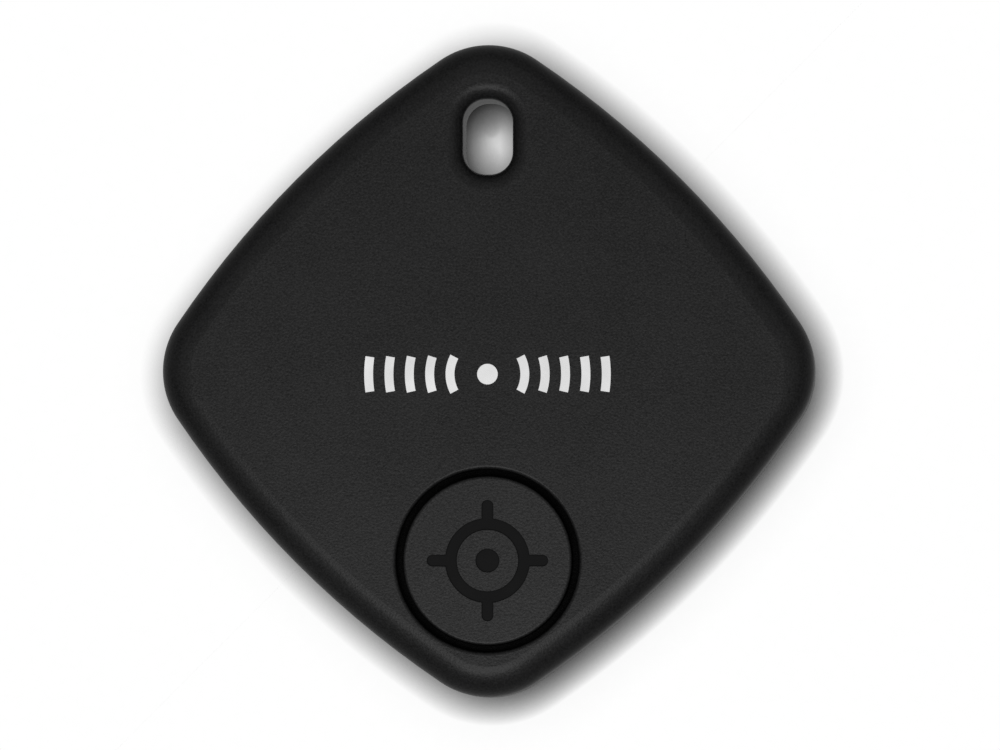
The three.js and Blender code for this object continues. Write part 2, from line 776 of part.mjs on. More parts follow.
// Width, depth and height of each kind, with the look of its body.
const PACKAGES = {
  chip: { size: [5.0, 5.0, 0.85], finish: "black_resin" },
  crystal: { size: [2.5, 2.0, 0.6], finish: "bright_metal" },
  watchCrystal: { size: [3.2, 1.5, 0.75], finish: "bright_metal" },
  antenna: { size: [6.5, 2.0, 0.95], finish: "white_ceramic" },
  inductor: { size: [3.0, 3.0, 0.95], finish: "ferrite" },
  transistor: { size: [2.9, 1.3, 0.9], finish: "black_resin" },
  capacitor: { size: [1.6, 0.8, 0.75], finish: "tan_ceramic" },
  resistor: { size: [1.6, 0.8, 0.45], finish: "black_resin" },
};

function component(kind, x, y, quarterTurns) {
  const [width, depth, height] = PACKAGES[kind].size;
  const bottom = BOARD_TOP + FIT;
  return block(width, depth, bottom, bottom + height)
    .rotateZ(quarterTurns * QUARTER)
    .translate(x, y, 0);
}

// ---------------------------------------------------------------- materials and scene graph

const FINISHES = {
  shell: { color: 0x242424, roughness: 0.55, metalness: 0 },
  button: { color: 0x262626, roughness: 0.5, metalness: 0 },
  elastomer: { color: 0x3a3c3f, roughness: 0.8, metalness: 0 },
  foam: { color: 0x2e2e30, roughness: 0.95, metalness: 0 },
  tray: { color: 0xd9d6cc, roughness: 0.5, metalness: 0 },
  board: { color: 0x10573a, roughness: 0.4, metalness: 0 },
  black_resin: { color: 0x1b1b1d, roughness: 0.5, metalness: 0 },
  white_ceramic: { color: 0xdedbd2, roughness: 0.6, metalness: 0 },
  tan_ceramic: { color: 0xa5855f, roughness: 0.6, metalness: 0 },
  ferrite: { color: 0x3b3b3e, roughness: 0.7, metalness: 0 },
  bright_metal: { color: 0xc4c6c8, roughness: 0.3, metalness: 1 },
  cell_steel: { color: 0xb9bbbd, roughness: 0.28, metalness: 1 },
  brass: { color: 0xc9a650, roughness: 0.3, metalness: 1 },
  glue: { color: 0xe8e3d0, roughness: 0.7, metalness: 0 },
  active_mass: { color: 0x2a2a2b, roughness: 0.9, metalness: 0 },
};

function piece(name, finish, geometry) {
  const mesh = new THREE.Mesh(geometry, new THREE.MeshStandardMaterial(FINISHES[finish]));
  mesh.name = name;
  return mesh;
}

const rearHalf = new THREE.Group().add(
  piece("rear_cover", "shell", rearCover()),
  piece("perimeter_gasket", "elastomer", perimeterGasket()),
  piece("slot_seal_ring", "elastomer", slotSealRing()),
  piece("battery_foam_pad", "foam", cellPad()),
);

const sounder = new THREE.Group().add(
  piece("piezo_plate", "brass", piezoPlate()),
  piece("piezo_ceramic", "white_ceramic", piezoCeramic()),
  piece("piezo_adhesive_ring", "glue", piezoGlue()),
  piece("buzzer_spring_outer", "brass", buzzerSpring(PLATE_BOTTOM - FIT, OUTER_SPRING_PLACE)),
  piece("buzzer_spring_inner", "brass", buzzerSpring(CERAMIC_BOTTOM - FIT, INNER_SPRING_PLACE)),
);

const electronics = new THREE.Group().add(
  piece("circuit_board", "board", circuitBoard()),
  piece("negative_contact_spring", "bright_metal", negativeContact()),
  piece("positive_contact_clip", "bright_metal", positiveContact()),
  piece("switch_housing", "black_resin", switchHousing()),
  piece("switch_cover_plate", "bright_metal", switchCoverPlate()),
  piece("switch_dome", "bright_metal", switchDome()),
  ...COMPONENTS.map(([name, kind, x, y, turns]) =>
    piece(name, PACKAGES[kind].finish, component(kind, x, y, turns)),
  ),
);

const frontHalf = new THREE.Group().add(
  piece("front_shell", "shell", frontShell()),
  piece("button_seal_pad", "elastomer", buttonSealPad()),
  piece("battery_tray", "tray", batteryTray()),
  sounder,
  electronics,
  ...SCREWS.map(([x, y], i) => piece(`tray_screw_${i + 1}`, "bright_metal", trayScrew(x, y))),
);

const button = new THREE.Group().add(
  piece("button_cap", "button", buttonCap()),
  piece("switch_plunger", "black_resin", switchPlunger()),
);

const coinCell = new THREE.Group().add(
  piece("battery_can", "cell_steel", cellCan()),
  piece("battery_cap", "cell_steel", cellCap()),
  piece("battery_seal_ring", "elastomer", cellSealRing()),
  piece("battery_cathode", "active_mass", cellCathode()),
  piece("battery_anode", "bright_metal", cellAnode()),
);

const trackerTag = new THREE.Group().add(rearHalf, frontHalf, button, coinCell);

export default trackerTag;
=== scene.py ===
"""Looks for a rounded-diamond tracker tag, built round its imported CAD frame.

Shapes are worked out in millimetres in the frame's own axes: +Z out of the front face, +Y towards
the key ring slot. finish_piece() turns them into metres and puts each on its CAD node's body.
"""

import json
import math
from types import SimpleNamespace

import bmesh
import bpy
from mathutils import Matrix, Vector

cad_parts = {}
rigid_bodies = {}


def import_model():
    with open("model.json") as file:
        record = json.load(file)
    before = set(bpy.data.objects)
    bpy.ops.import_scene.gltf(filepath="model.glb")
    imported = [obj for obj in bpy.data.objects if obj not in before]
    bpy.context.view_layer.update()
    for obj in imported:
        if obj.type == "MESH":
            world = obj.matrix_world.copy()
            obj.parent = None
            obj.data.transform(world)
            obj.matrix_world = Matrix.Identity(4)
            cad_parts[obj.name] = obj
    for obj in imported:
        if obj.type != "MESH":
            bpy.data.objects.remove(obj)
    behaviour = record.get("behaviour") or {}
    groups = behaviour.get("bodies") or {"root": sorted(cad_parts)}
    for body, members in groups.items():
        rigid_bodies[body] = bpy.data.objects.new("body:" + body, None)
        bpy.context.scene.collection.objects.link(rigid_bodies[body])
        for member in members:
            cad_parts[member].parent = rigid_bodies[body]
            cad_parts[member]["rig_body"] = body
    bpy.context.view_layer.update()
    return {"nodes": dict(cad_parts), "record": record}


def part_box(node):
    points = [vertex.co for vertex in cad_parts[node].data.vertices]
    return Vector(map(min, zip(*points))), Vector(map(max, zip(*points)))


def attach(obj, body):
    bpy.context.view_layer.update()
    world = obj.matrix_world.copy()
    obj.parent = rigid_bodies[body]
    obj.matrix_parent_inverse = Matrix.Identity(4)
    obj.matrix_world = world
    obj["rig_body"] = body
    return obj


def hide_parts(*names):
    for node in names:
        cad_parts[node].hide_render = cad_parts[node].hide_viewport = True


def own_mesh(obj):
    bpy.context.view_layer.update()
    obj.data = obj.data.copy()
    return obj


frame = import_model()

MM = 0.001
TURN = 2 * math.pi
QUARTER = TURN / 4


# Sizes from the frame

def span(node):
    """The box of a CAD node in millimetres, with its middle, its place in plan and half its width."""
    low, high = (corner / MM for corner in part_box(node))
    return SimpleNamespace(
        x0=low.x, y0=low.y, z0=low.z, x1=high.x, y1=high.y, z1=high.z,
        x=(low.x + high.x) / 2, y=(low.y + high.y) / 2, z=(low.z + high.z) / 2,
        place=((low.x + high.x) / 2, (low.y + high.y) / 2),
        width=high.x - low.x, length=high.y - low.y, height=high.z - low.z,
        radius=(high.x - low.x) / 2,
    )


def across_flats(node):
    """Half the distance between two opposite sides of the diamond, in millimetres."""
    vertices = frame["nodes"][node].data.vertices
    return max(v.co.x + v.co.y for v in vertices) / math.sqrt(2) / MM


FRONT = span("front_shell")
REAR = span("rear_cover")
CAP = span("button_cap")
BOARD = span("circuit_board")
CELL = span("battery_can")
CELL_CAP = span("battery_cap")
TRAY = span("battery_tray")
PIEZO = span("piezo_plate")
SLOT_SEAL = span("slot_seal_ring")
THICKNESS = FRONT.z1
SCREWS = [span(f"tray_screw_{i}") for i in (1, 2, 3, 4)]

# Outline of the tag: corner arcs and side arcs that touch.
HALF_DIAGONAL = FRONT.x1
HALF_FLAT = across_flats("front_shell")
CORNER_RADIUS = 5.95
CORNER_REACH = HALF_DIAGONAL - CORNER_RADIUS
CORNER_CENTRE = CORNER_REACH / math.sqrt(2)
CORNER_TO_FLAT = CORNER_CENTRE - HALF_FLAT
SIDE_RADIUS = (
    (CORNER_RADIUS**2 - CORNER_CENTRE**2 - CORNER_TO_FLAT**2) / 2 / (CORNER_TO_FLAT + CORNER_RADIUS)
)
SIDE_CENTRE = HALF_FLAT - SIDE_RADIUS
SIDE_HALF_SPAN = math.atan2(CORNER_CENTRE, CORNER_CENTRE - SIDE_CENTRE)
CORNER_HALF_SPAN = QUARTER / 2 - SIDE_HALF_SPAN

# Sections of the shells.
EDGE_FILLET = 2.1
RIM_EDGE = 0.14
WALL = 1.3
FRONT_SKIN = 1.2
BACK_SKIN = 0.85
CEILING = THICKNESS - FRONT_SKIN
REAR_RIM = 2.525
FRONT_RIM = 2.675
TONGUE_OUTER = 1.55
TONGUE_INNER = 2.35
BEAD_INSET = 1.38
GROOVE_INSET = 1.12
BEAD_Z = 3.7
REBATE_INSET = 0.7
REBATE_TOP = 3.3
BOSS_RADIUS = 1.4
PILOT_RADIUS = 0.66
PIEZO_SEAT = 0.2

# Key ring slot.
SLOT_WIDTH = 3.46
SLOT_LENGTH = 5.25
SLOT_CORNER = 1.6
SLOT_FLARE = 1.1
SLOT_Y = SLOT_SEAL.y
SLOT_WALL = 1.0
SLOT_LIP = 0.5
SLOT_LEDGE = 3.2
SLOT_LIP_TOP = 3.9
JOINT_GAP = 0.05

# Push button.
BUTTON_PLACE = (0, CAP.y)
CAP_RADIUS = 5.9
HOLE_RADIUS = 6.38
HOLE_LIP = 0.25
FLANGE_TOP = 6.68
STEM_RADIUS = 0.95
STEM_BOTTOM = 6.35
CELL_PLACE = (0, CELL.y)


# Outlines and sections

def arc(centre, radius, start, end, steps):
    """Points along an arc, both ends included."""
    angles = [start + (end - start) * i / steps for i in range(steps + 1)]
    return [(centre[0] + radius * math.cos(a), centre[1] + radius * math.sin(a)) for a in angles]


def tag_outline(inset, corner_steps=20, side_steps=14):
    """The tag's outline moved inwards, counter-clockwise."""
    points = []
    for quarter in range(4):
        corner = quarter * QUARTER
        side = corner + QUARTER / 2
        corner_centre = (CORNER_REACH * math.cos(corner), CORNER_REACH * math.sin(corner))
        side_centre = (SIDE_CENTRE * math.cos(side), SIDE_CENTRE * math.sin(side))
        points += arc(corner_centre, CORNER_RADIUS - inset,
                      corner - CORNER_HALF_SPAN, corner + CORNER_HALF_SPAN, corner_steps)
        points += arc(side_centre, SIDE_RADIUS - inset,
                      side - SIDE_HALF_SPAN, side + SIDE_HALF_SPAN, side_steps)[1:-1]
    return points


def rounded_rectangle(width, length, radius, centre=(0, 0), steps=6):
    points = []
    for quarter, (sx, sy) in enumerate([(1, 1), (-1, 1), (-1, -1), (1, -1)]):
        corner = (centre[0] + sx * (width / 2 - radius), centre[1] + sy * (length / 2 - radius))
        points += arc(corner, radius, quarter * QUARTER, (quarter + 1) * QUARTER, steps)
    return points


def slot_outline(growth):
    return rounded_rectangle(SLOT_WIDTH + 2 * growth, SLOT_LENGTH + 2 * growth,
                             SLOT_CORNER + growth, (0, SLOT_Y), steps=14)


def circle(radius, centre=(0, 0), steps=96):
    return arc(centre, radius, 0, TURN, steps)[:-1]


def section(corners, closed=False, steps=4):
    """A section line through (across, z, radius) corners, each rounded by its radius."""
    line = []
    last = len(corners) - 1
    for i, (across, z, radius) in enumerate(corners):
        if radius == 0 or (not closed and i in (0, last)):
            line.append((across, z))
            continue
        at = Vector((across, z))
        back = (Vector(corners[i - 1][:2]) - at).normalized()
        ahead = (Vector(corners[(i + 1) % (last + 1)][:2]) - at).normalized()
        half = back.angle(ahead) / 2
        centre = at + (back + ahead).normalized() * (radius / math.sin(half))
        reach = radius / math.tan(half)
        first = at + back * reach - centre
        final = at + ahead * reach - centre
        start = math.atan2(first.y, first.x)
        sweep = (math.atan2(final.y, final.x) - start + TURN / 2) % TURN - TURN / 2
        line += arc(centre, radius, start, start + sweep, steps)
    return line


# Meshes

def skinned(rings, closed=False, bands=None):
    """A bmesh through rings of (x, y, z) points, equal in count. Open stacks are capped.

    bands gives the material index of each band between two rings. A cap takes its neighbour's.
    """
    mesh = bmesh.new()
    levels = [[mesh.verts.new(point) for point in ring] for ring in rings]
    pairs = list(zip(levels, levels[1:] + levels[:1] if closed else levels[1:]))
    for band, (lower, upper) in enumerate(pairs):
        for i in range(len(lower)):
            j = (i + 1) % len(lower)
            face = mesh.faces.new((lower[i], lower[j], upper[j], upper[i]))
            face.material_index = bands[band] if bands else 0
    if not closed:
        mesh.faces.new(reversed(levels[0])).material_index = bands[0] if bands else 0
        mesh.faces.new(levels[-1]).material_index = bands[-1] if bands else 0
    return mesh


def loft(rings, closed=False, bands=None):
    """A bmesh through level rings, each (points, z)."""
    return skinned([[(x, y, z) for x, y in points] for points, z in rings], closed, bands)


def tag_loft(line, closed=False, bands=None):
    """A loft of the tag's outline along a section of (inset, z) points."""
    return loft([(tag_outline(inset), z) for inset, z in line], closed, bands)


def slot_loft(line, closed=False, bands=None):
    """A loft of the slot's outline along a section of (growth, z) points."""
    return loft([(slot_outline(growth), z) for growth, z in line], closed, bands)


def turned(line, centre=(0, 0), closed=False, steps=96):
    """A solid of revolution along a section of (radius, z) points. A radius of 0 is a pole."""
    mesh = bmesh.new()
    levels = []
    for radius, z in line:
        points = [centre] if radius == 0 else circle(radius, centre, steps)
        levels.append([mesh.verts.new((x, y, z)) for x, y in points])
    for lower, upper in zip(levels, levels[1:] + levels[:1] if closed else levels[1:]):
        if len(lower) == len(upper) == 1:
            continue
        for i in range(steps):
            j = (i + 1) % steps
            if len(lower) == 1:
                mesh.faces.new((lower[0], upper[j], upper[i]))
            elif len(upper) == 1:
                mesh.faces.new((lower[i], lower[j], upper[0]))
            else:
                mesh.faces.new((lower[i], lower[j], upper[j], upper[i]))
    return mesh


def disc(radius, z0, z1, centre=(0, 0), edge=0.0, steps=96):
    """A turned disc with softened rims."""
    line = section([(0, z0, 0), (radius, z0, edge), (radius, z1, edge), (0, z1, 0)])
    return turned(line, centre, steps=steps)


def turned_ring(inner, outer, z0, z1, centre, edge):
    corners = [(inner, z0, edge), (outer, z0, edge), (outer, z1, edge), (inner, z1, edge)]
    return turned(section(corners, closed=True), centre, closed=True)


def prism(outline, z0, z1):
    return loft([(outline, z0), (outline, z1)])


SMALLEST_CORNER = 0.005


def soft_block(width, length, z0, z1, centre=(0, 0), radius=0.1, edge=0.05):
    """A block with rounded corners and softened top and bottom edges."""
    line = section([(-2 * edge, z0, 0), (0, z0, edge), (0, z1, edge), (-2 * edge, z1, 0)], steps=3)
    rings = []
    for growth, z in line:
        corner = max(radius + growth, SMALLEST_CORNER)
        outline = rounded_rectangle(width + 2 * growth, length + 2 * growth, corner, centre)
        rings.append((outline, z))
    return loft(rings)


def box_loft(box, line, radius, steps, bands=None):
    """A loft of a node's box in plan, with round corners, along a section of (inset, z) points."""
    rings = []
    for inset, z in line:
        width, length = box.width - 2 * inset, box.length - 2 * inset
        rings.append((rounded_rectangle(width, length, radius, box.place, steps), z))
    return loft(rings, bands=bands)


def cord_section(outer, inner, low, high, edge):
    """The closed section of a cord or ring with rounded corners."""
    corners = [(outer, low, edge), (outer, high, edge), (inner, high, edge), (inner, low, edge)]
    return section(corners, closed=True)


def band(corners, thickness):
    """The outline of a band of even thickness along a middle line through rounded corners."""
    line = [Vector(point) for point in section(corners, steps=5)]
    sides = []
    for i, point in enumerate(line):
        ahead = (line[min(i + 1, len(line) - 1)] - line[max(i - 1, 0)]).normalized()
        sides.append((point, Vector((-ahead.y, ahead.x)) * thickness / 2))
    return [point + out for point, out in sides] + [point - out for point, out in reversed(sides)]


def strip(corners, thickness, width, y):
    """A strip bent along (x, z, radius) corners of its middle line, width wide along Y."""
    mesh = prism(band(corners, thickness), -width / 2, width / 2)
    for vertex in mesh.verts:
        x, z, across = vertex.co
        vertex.co = (x, y + across, z)
    return mesh


def coil(radius, wire, z0, z1, turns, centre, steps=28, sides=10):
    """A round wire wound into a helix, with its ends touching z0 and z1."""
    rings = []
    count = turns * steps
    for i in range(count + 1):
        angle = TURN * i / steps
        rise = z0 + wire + (z1 - z0 - 2 * wire) * i / count
        ring = []
        for across, up in circle(wire, steps=sides):
            reach = radius + across
            x = centre[0] + reach * math.cos(angle)
            y = centre[1] + reach * math.sin(angle)
            ring.append((x, y, rise + up))
        rings.append(ring)
    return skinned(rings)


def moved(mesh, angle=0.0, shift=(0, 0, 0)):
    """Turns a bmesh about the vertical line through the origin, then shifts it."""
    bmesh.ops.rotate(mesh, verts=mesh.verts, cent=(0, 0, 0), matrix=Matrix.Rotation(angle, 3, "Z"))
    bmesh.ops.translate(mesh, verts=mesh.verts, vec=shift)
    return mesh


def merged(*meshes):
    """One bmesh that holds several separate bodies."""
    whole = bmesh.new()
    for part in meshes:
        data = bpy.data.meshes.new("part")
        bmesh.ops.recalc_face_normals(part, faces=part.faces)
        part.to_mesh(data)
        part.free()
        whole.from_mesh(data)
        bpy.data.meshes.remove(data)
    return whole


def to_object(name, mesh, *materials):
    """A scene object from a bmesh in millimetres."""
    bmesh.ops.recalc_face_normals(mesh, faces=mesh.faces)
    data = bpy.data.meshes.new(name)
    mesh.to_mesh(data)
    mesh.free()
    piece = bpy.data.objects.new(name, data)
    bpy.context.scene.collection.objects.link(piece)
    for material in materials:
        data.materials.append(material)
    return piece


def boolean(piece, tool_mesh, operation, *materials):
    """Joins a bmesh to a piece or cuts it away. The new faces take the given materials."""
    tool = to_object("tool", tool_mesh, *(materials or piece.data.materials[:1]))
    for material in materials:
        if material.name not in piece.data.materials:
            piece.data.materials.append(material)
    modifier = piece.modifiers.new("boolean", "BOOLEAN")
    modifier.operation = operation
    modifier.solver = "EXACT"
    modifier.material_mode = "TRANSFER"
    modifier.object = tool
    bpy.context.view_layer.update()
    evaluated = piece.evaluated_get(bpy.context.evaluated_depsgraph_get())
    made = bpy.data.meshes.new_from_object(evaluated)
    old = piece.data
    piece.modifiers.clear()
    piece.data = made
    bpy.data.meshes.remove(old)
    bpy.data.objects.remove(tool)


def cut(piece, mesh, *materials):
    boolean(piece, mesh, "DIFFERENCE", *materials)


def join(piece, mesh):
    boolean(piece, mesh, "UNION")


MOST_SMOOTH_CORNERS = 8
LEVEL = 0.9999
WELD = 1e-5


def shade(piece, sharp_degrees):
    """Smooth shading with sharp edges kept. Level faces and faces with many corners stay flat."""
    mesh = bmesh.new()
    mesh.from_mesh(piece.data)
    bmesh.ops.remove_doubles(mesh, verts=mesh.verts, dist=WELD)
    bmesh.ops.dissolve_degenerate(mesh, edges=mesh.edges, dist=WELD / 10)
    for face in mesh.faces:
        face.smooth = len(face.verts) <= MOST_SMOOTH_CORNERS and abs(face.normal.z) < LEVEL
    for edge in mesh.edges:
        if len(edge.link_faces) == 2 and edge.calc_face_angle(0) > math.radians(sharp_degrees):
            edge.smooth = False
    mesh.to_mesh(piece.data)
    mesh.free()
    weighted = piece.modifiers.new("flat faces stay flat", "WEIGHTED_NORMAL")
    weighted.keep_sharp = True


SLOT_OF = {part["node"]: part["material_slot"] for part in frame["record"]["subparts"]}


def finish_piece(piece, node=None, slot=None, sharp_degrees=32):
    """Shades a piece, turns it into metres, and puts it in the place of its CAD node.

    It takes the node's body. A piece without a node is on the front half.
    """
    shade(piece, sharp_degrees)
    for vertex in piece.data.vertices:
        vertex.co *= MM
    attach(piece, frame["nodes"][node]["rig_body"] if node else "front_half")
    slot or SLOT_OF[node]
    if node:
        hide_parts(node)


def add_piece(name, mesh, materials, *node, **settings):
    """A finished piece straight from its mesh."""
    piece = to_object(name, mesh, *materials)
    finish_piece(piece, *node, **settings)
    return piece


# Material nodes

def add_node(tree, kind, inputs=None, **settings):
    """A shader node with its inputs set to values or linked to sockets."""
    made = tree.nodes.new("ShaderNode" + kind)
    for key, value in settings.items():
        setattr(made, key, value)
    for key, value in (inputs or {}).items():
        if isinstance(value, bpy.types.NodeSocket):
            tree.links.new(value, made.inputs[key])
        else:
            made.inputs[key].default_value = value
    return made


def new_material(name, **inputs):
    """A material with its node tree, its shader and the piece's own coordinates."""
    material = bpy.data.materials.new(name)
    material.use_nodes = True
    tree = material.node_tree
    shader = tree.nodes["Principled BSDF"]
    for key, value in inputs.items():
        shader.inputs[key.replace("_", " ")].default_value = value
    coordinates = add_node(tree, "TexCoord").outputs["Object"]
    return material, tree, shader, coordinates


def noise(tree, coordinates, size, detail=3.0, roughness=0.55):
    """Noise whose features are about size millimetres across."""
    inputs = {"Vector": coordinates, "Scale": 1 / (size * MM), "Detail": detail,
              "Roughness": roughness}
    return add_node(tree, "TexNoise", inputs).outputs["Fac"]


def spread(tree, value, low, high, width=0.5):
    """Maps the middle width of a 0 to 1 value onto low to high."""
    inputs = {"Value": value, "From Min": 0.5 - width / 2, "From Max": 0.5 + width / 2,
              "To Min": low, "To Max": high}
    return add_node(tree, "MapRange", inputs).outputs["Result"]


def tinted(tree, colour, value, amount):
    """A colour made darker and lighter by amount as value goes from 0 to 1."""
    mix = add_node(tree, "Mix", {0: value}, data_type="RGBA")
    mix.inputs[6].default_value = [c * (1 - amount) for c in colour] + [1]
    mix.inputs[7].default_value = [c * (1 + amount) for c in colour] + [1]
    return mix.outputs[2]


def bump(tree, height, depth):
    inputs = {"Height": height, "Distance": depth * MM, "Strength": 1.0}
    return add_node(tree, "Bump", inputs).outputs["Normal"]


def connect(tree, shader, colour, roughness, normal):
    tree.links.new(colour, shader.inputs["Base Color"])
    tree.links.new(roughness, shader.inputs["Roughness"])
    tree.links.new(normal, shader.inputs["Normal"])


def combined(tree, first, second, operation):
    return add_node(tree, "Math", {0: first, 1: second}, operation=operation).outputs[0]


def vector_math(tree, inputs, operation):
    return add_node(tree, "VectorMath", inputs, operation=operation)


def openness(tree, reach, power, samples=8, **inputs):
    """1 on open faces, falling towards 0 where walls stand within reach millimetres."""
    inputs["Distance"] = reach * MM
    occlusion = add_node(tree, "AmbientOcclusion", inputs, samples=samples).outputs["AO"]
    return combined(tree, occlusion, power, "POWER")


GRAZING_GLOSS = 0.4


def rising_gloss(tree, level):
    """A specular level that rises from level, seen square on, towards grazing angles."""
    facing = add_node(tree, "LayerWeight", {"Blend": 0.5}).outputs["Facing"]
    rise = combined(tree, combined(tree, facing, 2.0, "POWER"), GRAZING_GLOSS, "MULTIPLY")
    return combined(tree, level, rise, "ADD")


def grained_plastic(name, colour, level, roughness=0.36, grain=0.16, depth=0.016, contrast=0.6):
    """Matt moulded plastic: spark-eroded grain with tiny sparkling points, and faint mottling.

    Grooves and gaps get painted shade: their colour and gloss are darkened where little light gets in.
    """
    material, tree, shader, at = new_material(name)
    fine = noise(tree, at, grain, detail=2.0)
    mottle = noise(tree, at, 40 * grain, detail=2.0)
    points = noise(tree, at, 0.7 * grain, detail=1.0)
    shading = combined(tree, spread(tree, fine, 0, 0.7, 0.4), spread(tree, mottle, 0, 0.3), "ADD")
    # Painted shade: ambient occlusion darkens colour and gloss in grooves, gaps and near other surfaces.
    painted_crevice_shade = openness(tree, reach=1.4, power=1.8)
    gloss = rising_gloss(tree, spread(tree, points, 0.6 * level, 1.4 * level))
    speckled = tinted(tree, colour, shading, contrast)
    colour_with_painted_shade = vector_math(tree, {0: speckled, "Scale": painted_crevice_shade}, "SCALE").outputs[0]
    tree.links.new(combined(tree, gloss, painted_crevice_shade, "MULTIPLY"), shader.inputs["Specular IOR Level"])
    connect(tree, shader, colour_with_painted_shade, spread(tree, points, roughness - 0.06, roughness + 0.06),
            bump(tree, fine, depth))
    return material


def smooth_material(name, colour, roughness, grain=0.12, depth=0.004, stain=2.5, contrast=0.1, **inputs):
    """A fine-surfaced material: plastics from a polished tool, ink, rubber, ceramic or glue.

    Large soft stains tint it, and fine grain varies its gloss and its surface.
    """
    material, tree, shader, at = new_material(name, **inputs)
    fine = noise(tree, at, grain, detail=3.0)
    large = noise(tree, at, stain, detail=4.0)
    connect(tree, shader, tinted(tree, colour, spread(tree, large, 0, 1), contrast),
            spread(tree, fine, roughness - 0.06, roughness + 0.08), bump(tree, fine, depth))
    return material


def foam(name, colour):
    """Closed-cell foam: small bubbles cut open at the surface, with painted shade in their hollows."""
    material, tree, shader, at = new_material(name, Roughness=0.95)
    bubble = 0.25
    inputs = {"Vector": at, "Scale": 1 / (bubble * MM)}
    cells = add_node(tree, "TexVoronoi", inputs).outputs["Distance"]
    # The tint darkens the cells' middles, which the bump sinks: painted shade.
    tree.links.new(tinted(tree, colour, cells, 0.6), shader.inputs["Base Color"])
    tree.links.new(bump(tree, cells, 0.08), shader.inputs["Normal"])
    return material


def metal(name, colour, roughness=0.3, grain=0.05, depth=0.0008, streak=(1, 1, 1)):
    """Plated or rolled metal. streak squeezes its scratches, so they run along the other axes."""
    material, tree, shader, at = new_material(name, Metallic=1.0)
    squeezed = add_node(tree, "Mapping", {"Vector": at, "Scale": streak}).outputs[0]
    fine = noise(tree, squeezed, grain)
    stain = noise(tree, at, 1.2)
    connect(tree, shader, tinted(tree, colour, stain, 0.08),
            spread(tree, fine, roughness - 0.08, roughness + 0.12), bump(tree, fine, depth))
    return material


def turned_steel(name, colour, centre):
    """Stainless steel with concentric brush lines about a vertical line through centre."""
    material, tree, shader, at = new_material(name, Metallic=1.0)
    middle = (centre[0] * MM, centre[1] * MM, 0)
    brush_line = 0.06
    shifted = vector_math(tree, {0: at, 1: middle}, "SUBTRACT").outputs[0]
    flat = vector_math(tree, {0: shifted, 1: (1, 1, 0)}, "MULTIPLY").outputs[0]
    radius = vector_math(tree, {0: flat}, "LENGTH").outputs["Value"]
    inputs = {"W": radius, "Scale": 1 / (brush_line * MM), "Detail": 4.0}
    lines = add_node(tree, "TexNoise", inputs, noise_dimensions="1D").outputs["Fac"]
    stain = noise(tree, at, 2.0)
    connect(tree, shader, tinted(tree, colour, stain, 0.07), spread(tree, lines, 0.2, 0.42),
            bump(tree, lines, 0.0012))
    return material


def solder_mask(name, colour):
    """Glass-epoxy board under solder mask: the weave shows faintly through a satin lacquer."""
    material, tree, shader, at = new_material(name, Coat_Weight=0.3)
    three_threads = 2.2
    inputs = {"Vector": at, "Scale": 1 / (three_threads * MM), "Distortion": 0.4}
    threads = []
    for direction in ("X", "Y"):
        wave = add_node(tree, "TexWave", inputs, bands_direction=direction)
        threads.append(wave.outputs["Fac"])
    weave = combined(tree, *threads, "MULTIPLY")
    lacquer = noise(tree, at, 0.8)
    connect(tree, shader, tinted(tree, colour, weave, 0.1), spread(tree, lacquer, 0.25, 0.4),
            bump(tree, lacquer, 0.004))
    return material


SHELL_BLACK = grained_plastic("shell_black", (0.0073, 0.0073, 0.0074), level=0.1)
CAP_BLACK = grained_plastic("cap_black", (0.0083, 0.0083, 0.0084), level=0.11)
SLOT_BLACK = smooth_material("slot_black", (0.004, 0.004, 0.004), 0.16, depth=0.001, Specular_IOR_Level=0.4)
SYMBOL_BLACK = smooth_material("symbol_black", (0.0056, 0.0056, 0.0057), 0.45, Specular_IOR_Level=0.02)
INK = smooth_material("white_ink", (0.6, 0.6, 0.6), 0.55, grain=0.14, depth=0.006, Specular_IOR_Level=0.3)
RUBBER = smooth_material("grey_silicone", (0.045, 0.046, 0.048), 0.62, 0.08, 0.006, 1.5, 0.2,
                         Sheen_Weight=0.15)
FOAM = foam("black_foam", (0.03, 0.03, 0.032))
TRAY_PLASTIC = smooth_material("natural_plastic", (0.62, 0.6, 0.54), 0.42, Subsurface_Weight=0.1)
STEEL = turned_steel("turned_cell_steel", (0.58, 0.58, 0.59), CELL_PLACE)
NICKEL = metal("nickel_plate", (0.62, 0.62, 0.6), roughness=0.28)
BRASS = metal("rolled_brass", (0.72, 0.53, 0.25), streak=(1, 12, 1))
GOLD = metal("gold_flash", (0.83, 0.62, 0.28), roughness=0.25)
TIN = metal("solder_tin", (0.66, 0.67, 0.68), roughness=0.35)
SILVER = metal("fired_silver", (0.75, 0.75, 0.73), roughness=0.5)
GREEN_BOARD = solder_mask("green_board", (0.012, 0.11, 0.06))
GREEN_TRACE = solder_mask("green_trace", (0.03, 0.17, 0.08))
LAMINATE = smooth_material("cut_laminate", (0.42, 0.38, 0.2), 0.7, 0.05, 0.01, 0.3, 0.25)
WHITE_CERAMIC = smooth_material("fired_white_ceramic", (0.7, 0.68, 0.62), 0.6, 0.07, 0.004, 0.6)
TAN_CERAMIC = smooth_material("fired_tan_ceramic", (0.36, 0.22, 0.12), 0.55, 0.07, 0.004, 0.6, 0.15)
FERRITE = smooth_material("ferrite_grey", (0.045, 0.045, 0.048), 0.7, 0.06, 0.008, 0.5, 0.2)
RESIN = smooth_material("moulded_black_resin", (0.012, 0.012, 0.013), 0.5, 0.06, 0.004, 1.0, 0.2)
GLUE = smooth_material("cured_glue", (0.72, 0.68, 0.55), 0.3, 0.5, 0.01, 1.0)
CATHODE = smooth_material("manganese_mass", (0.02, 0.02, 0.02), 0.85, 0.1, 0.02, 0.8, 0.3)
LITHIUM = metal("lithium_foil", (0.6, 0.6, 0.6), roughness=0.5, grain=0.3)


# Shells

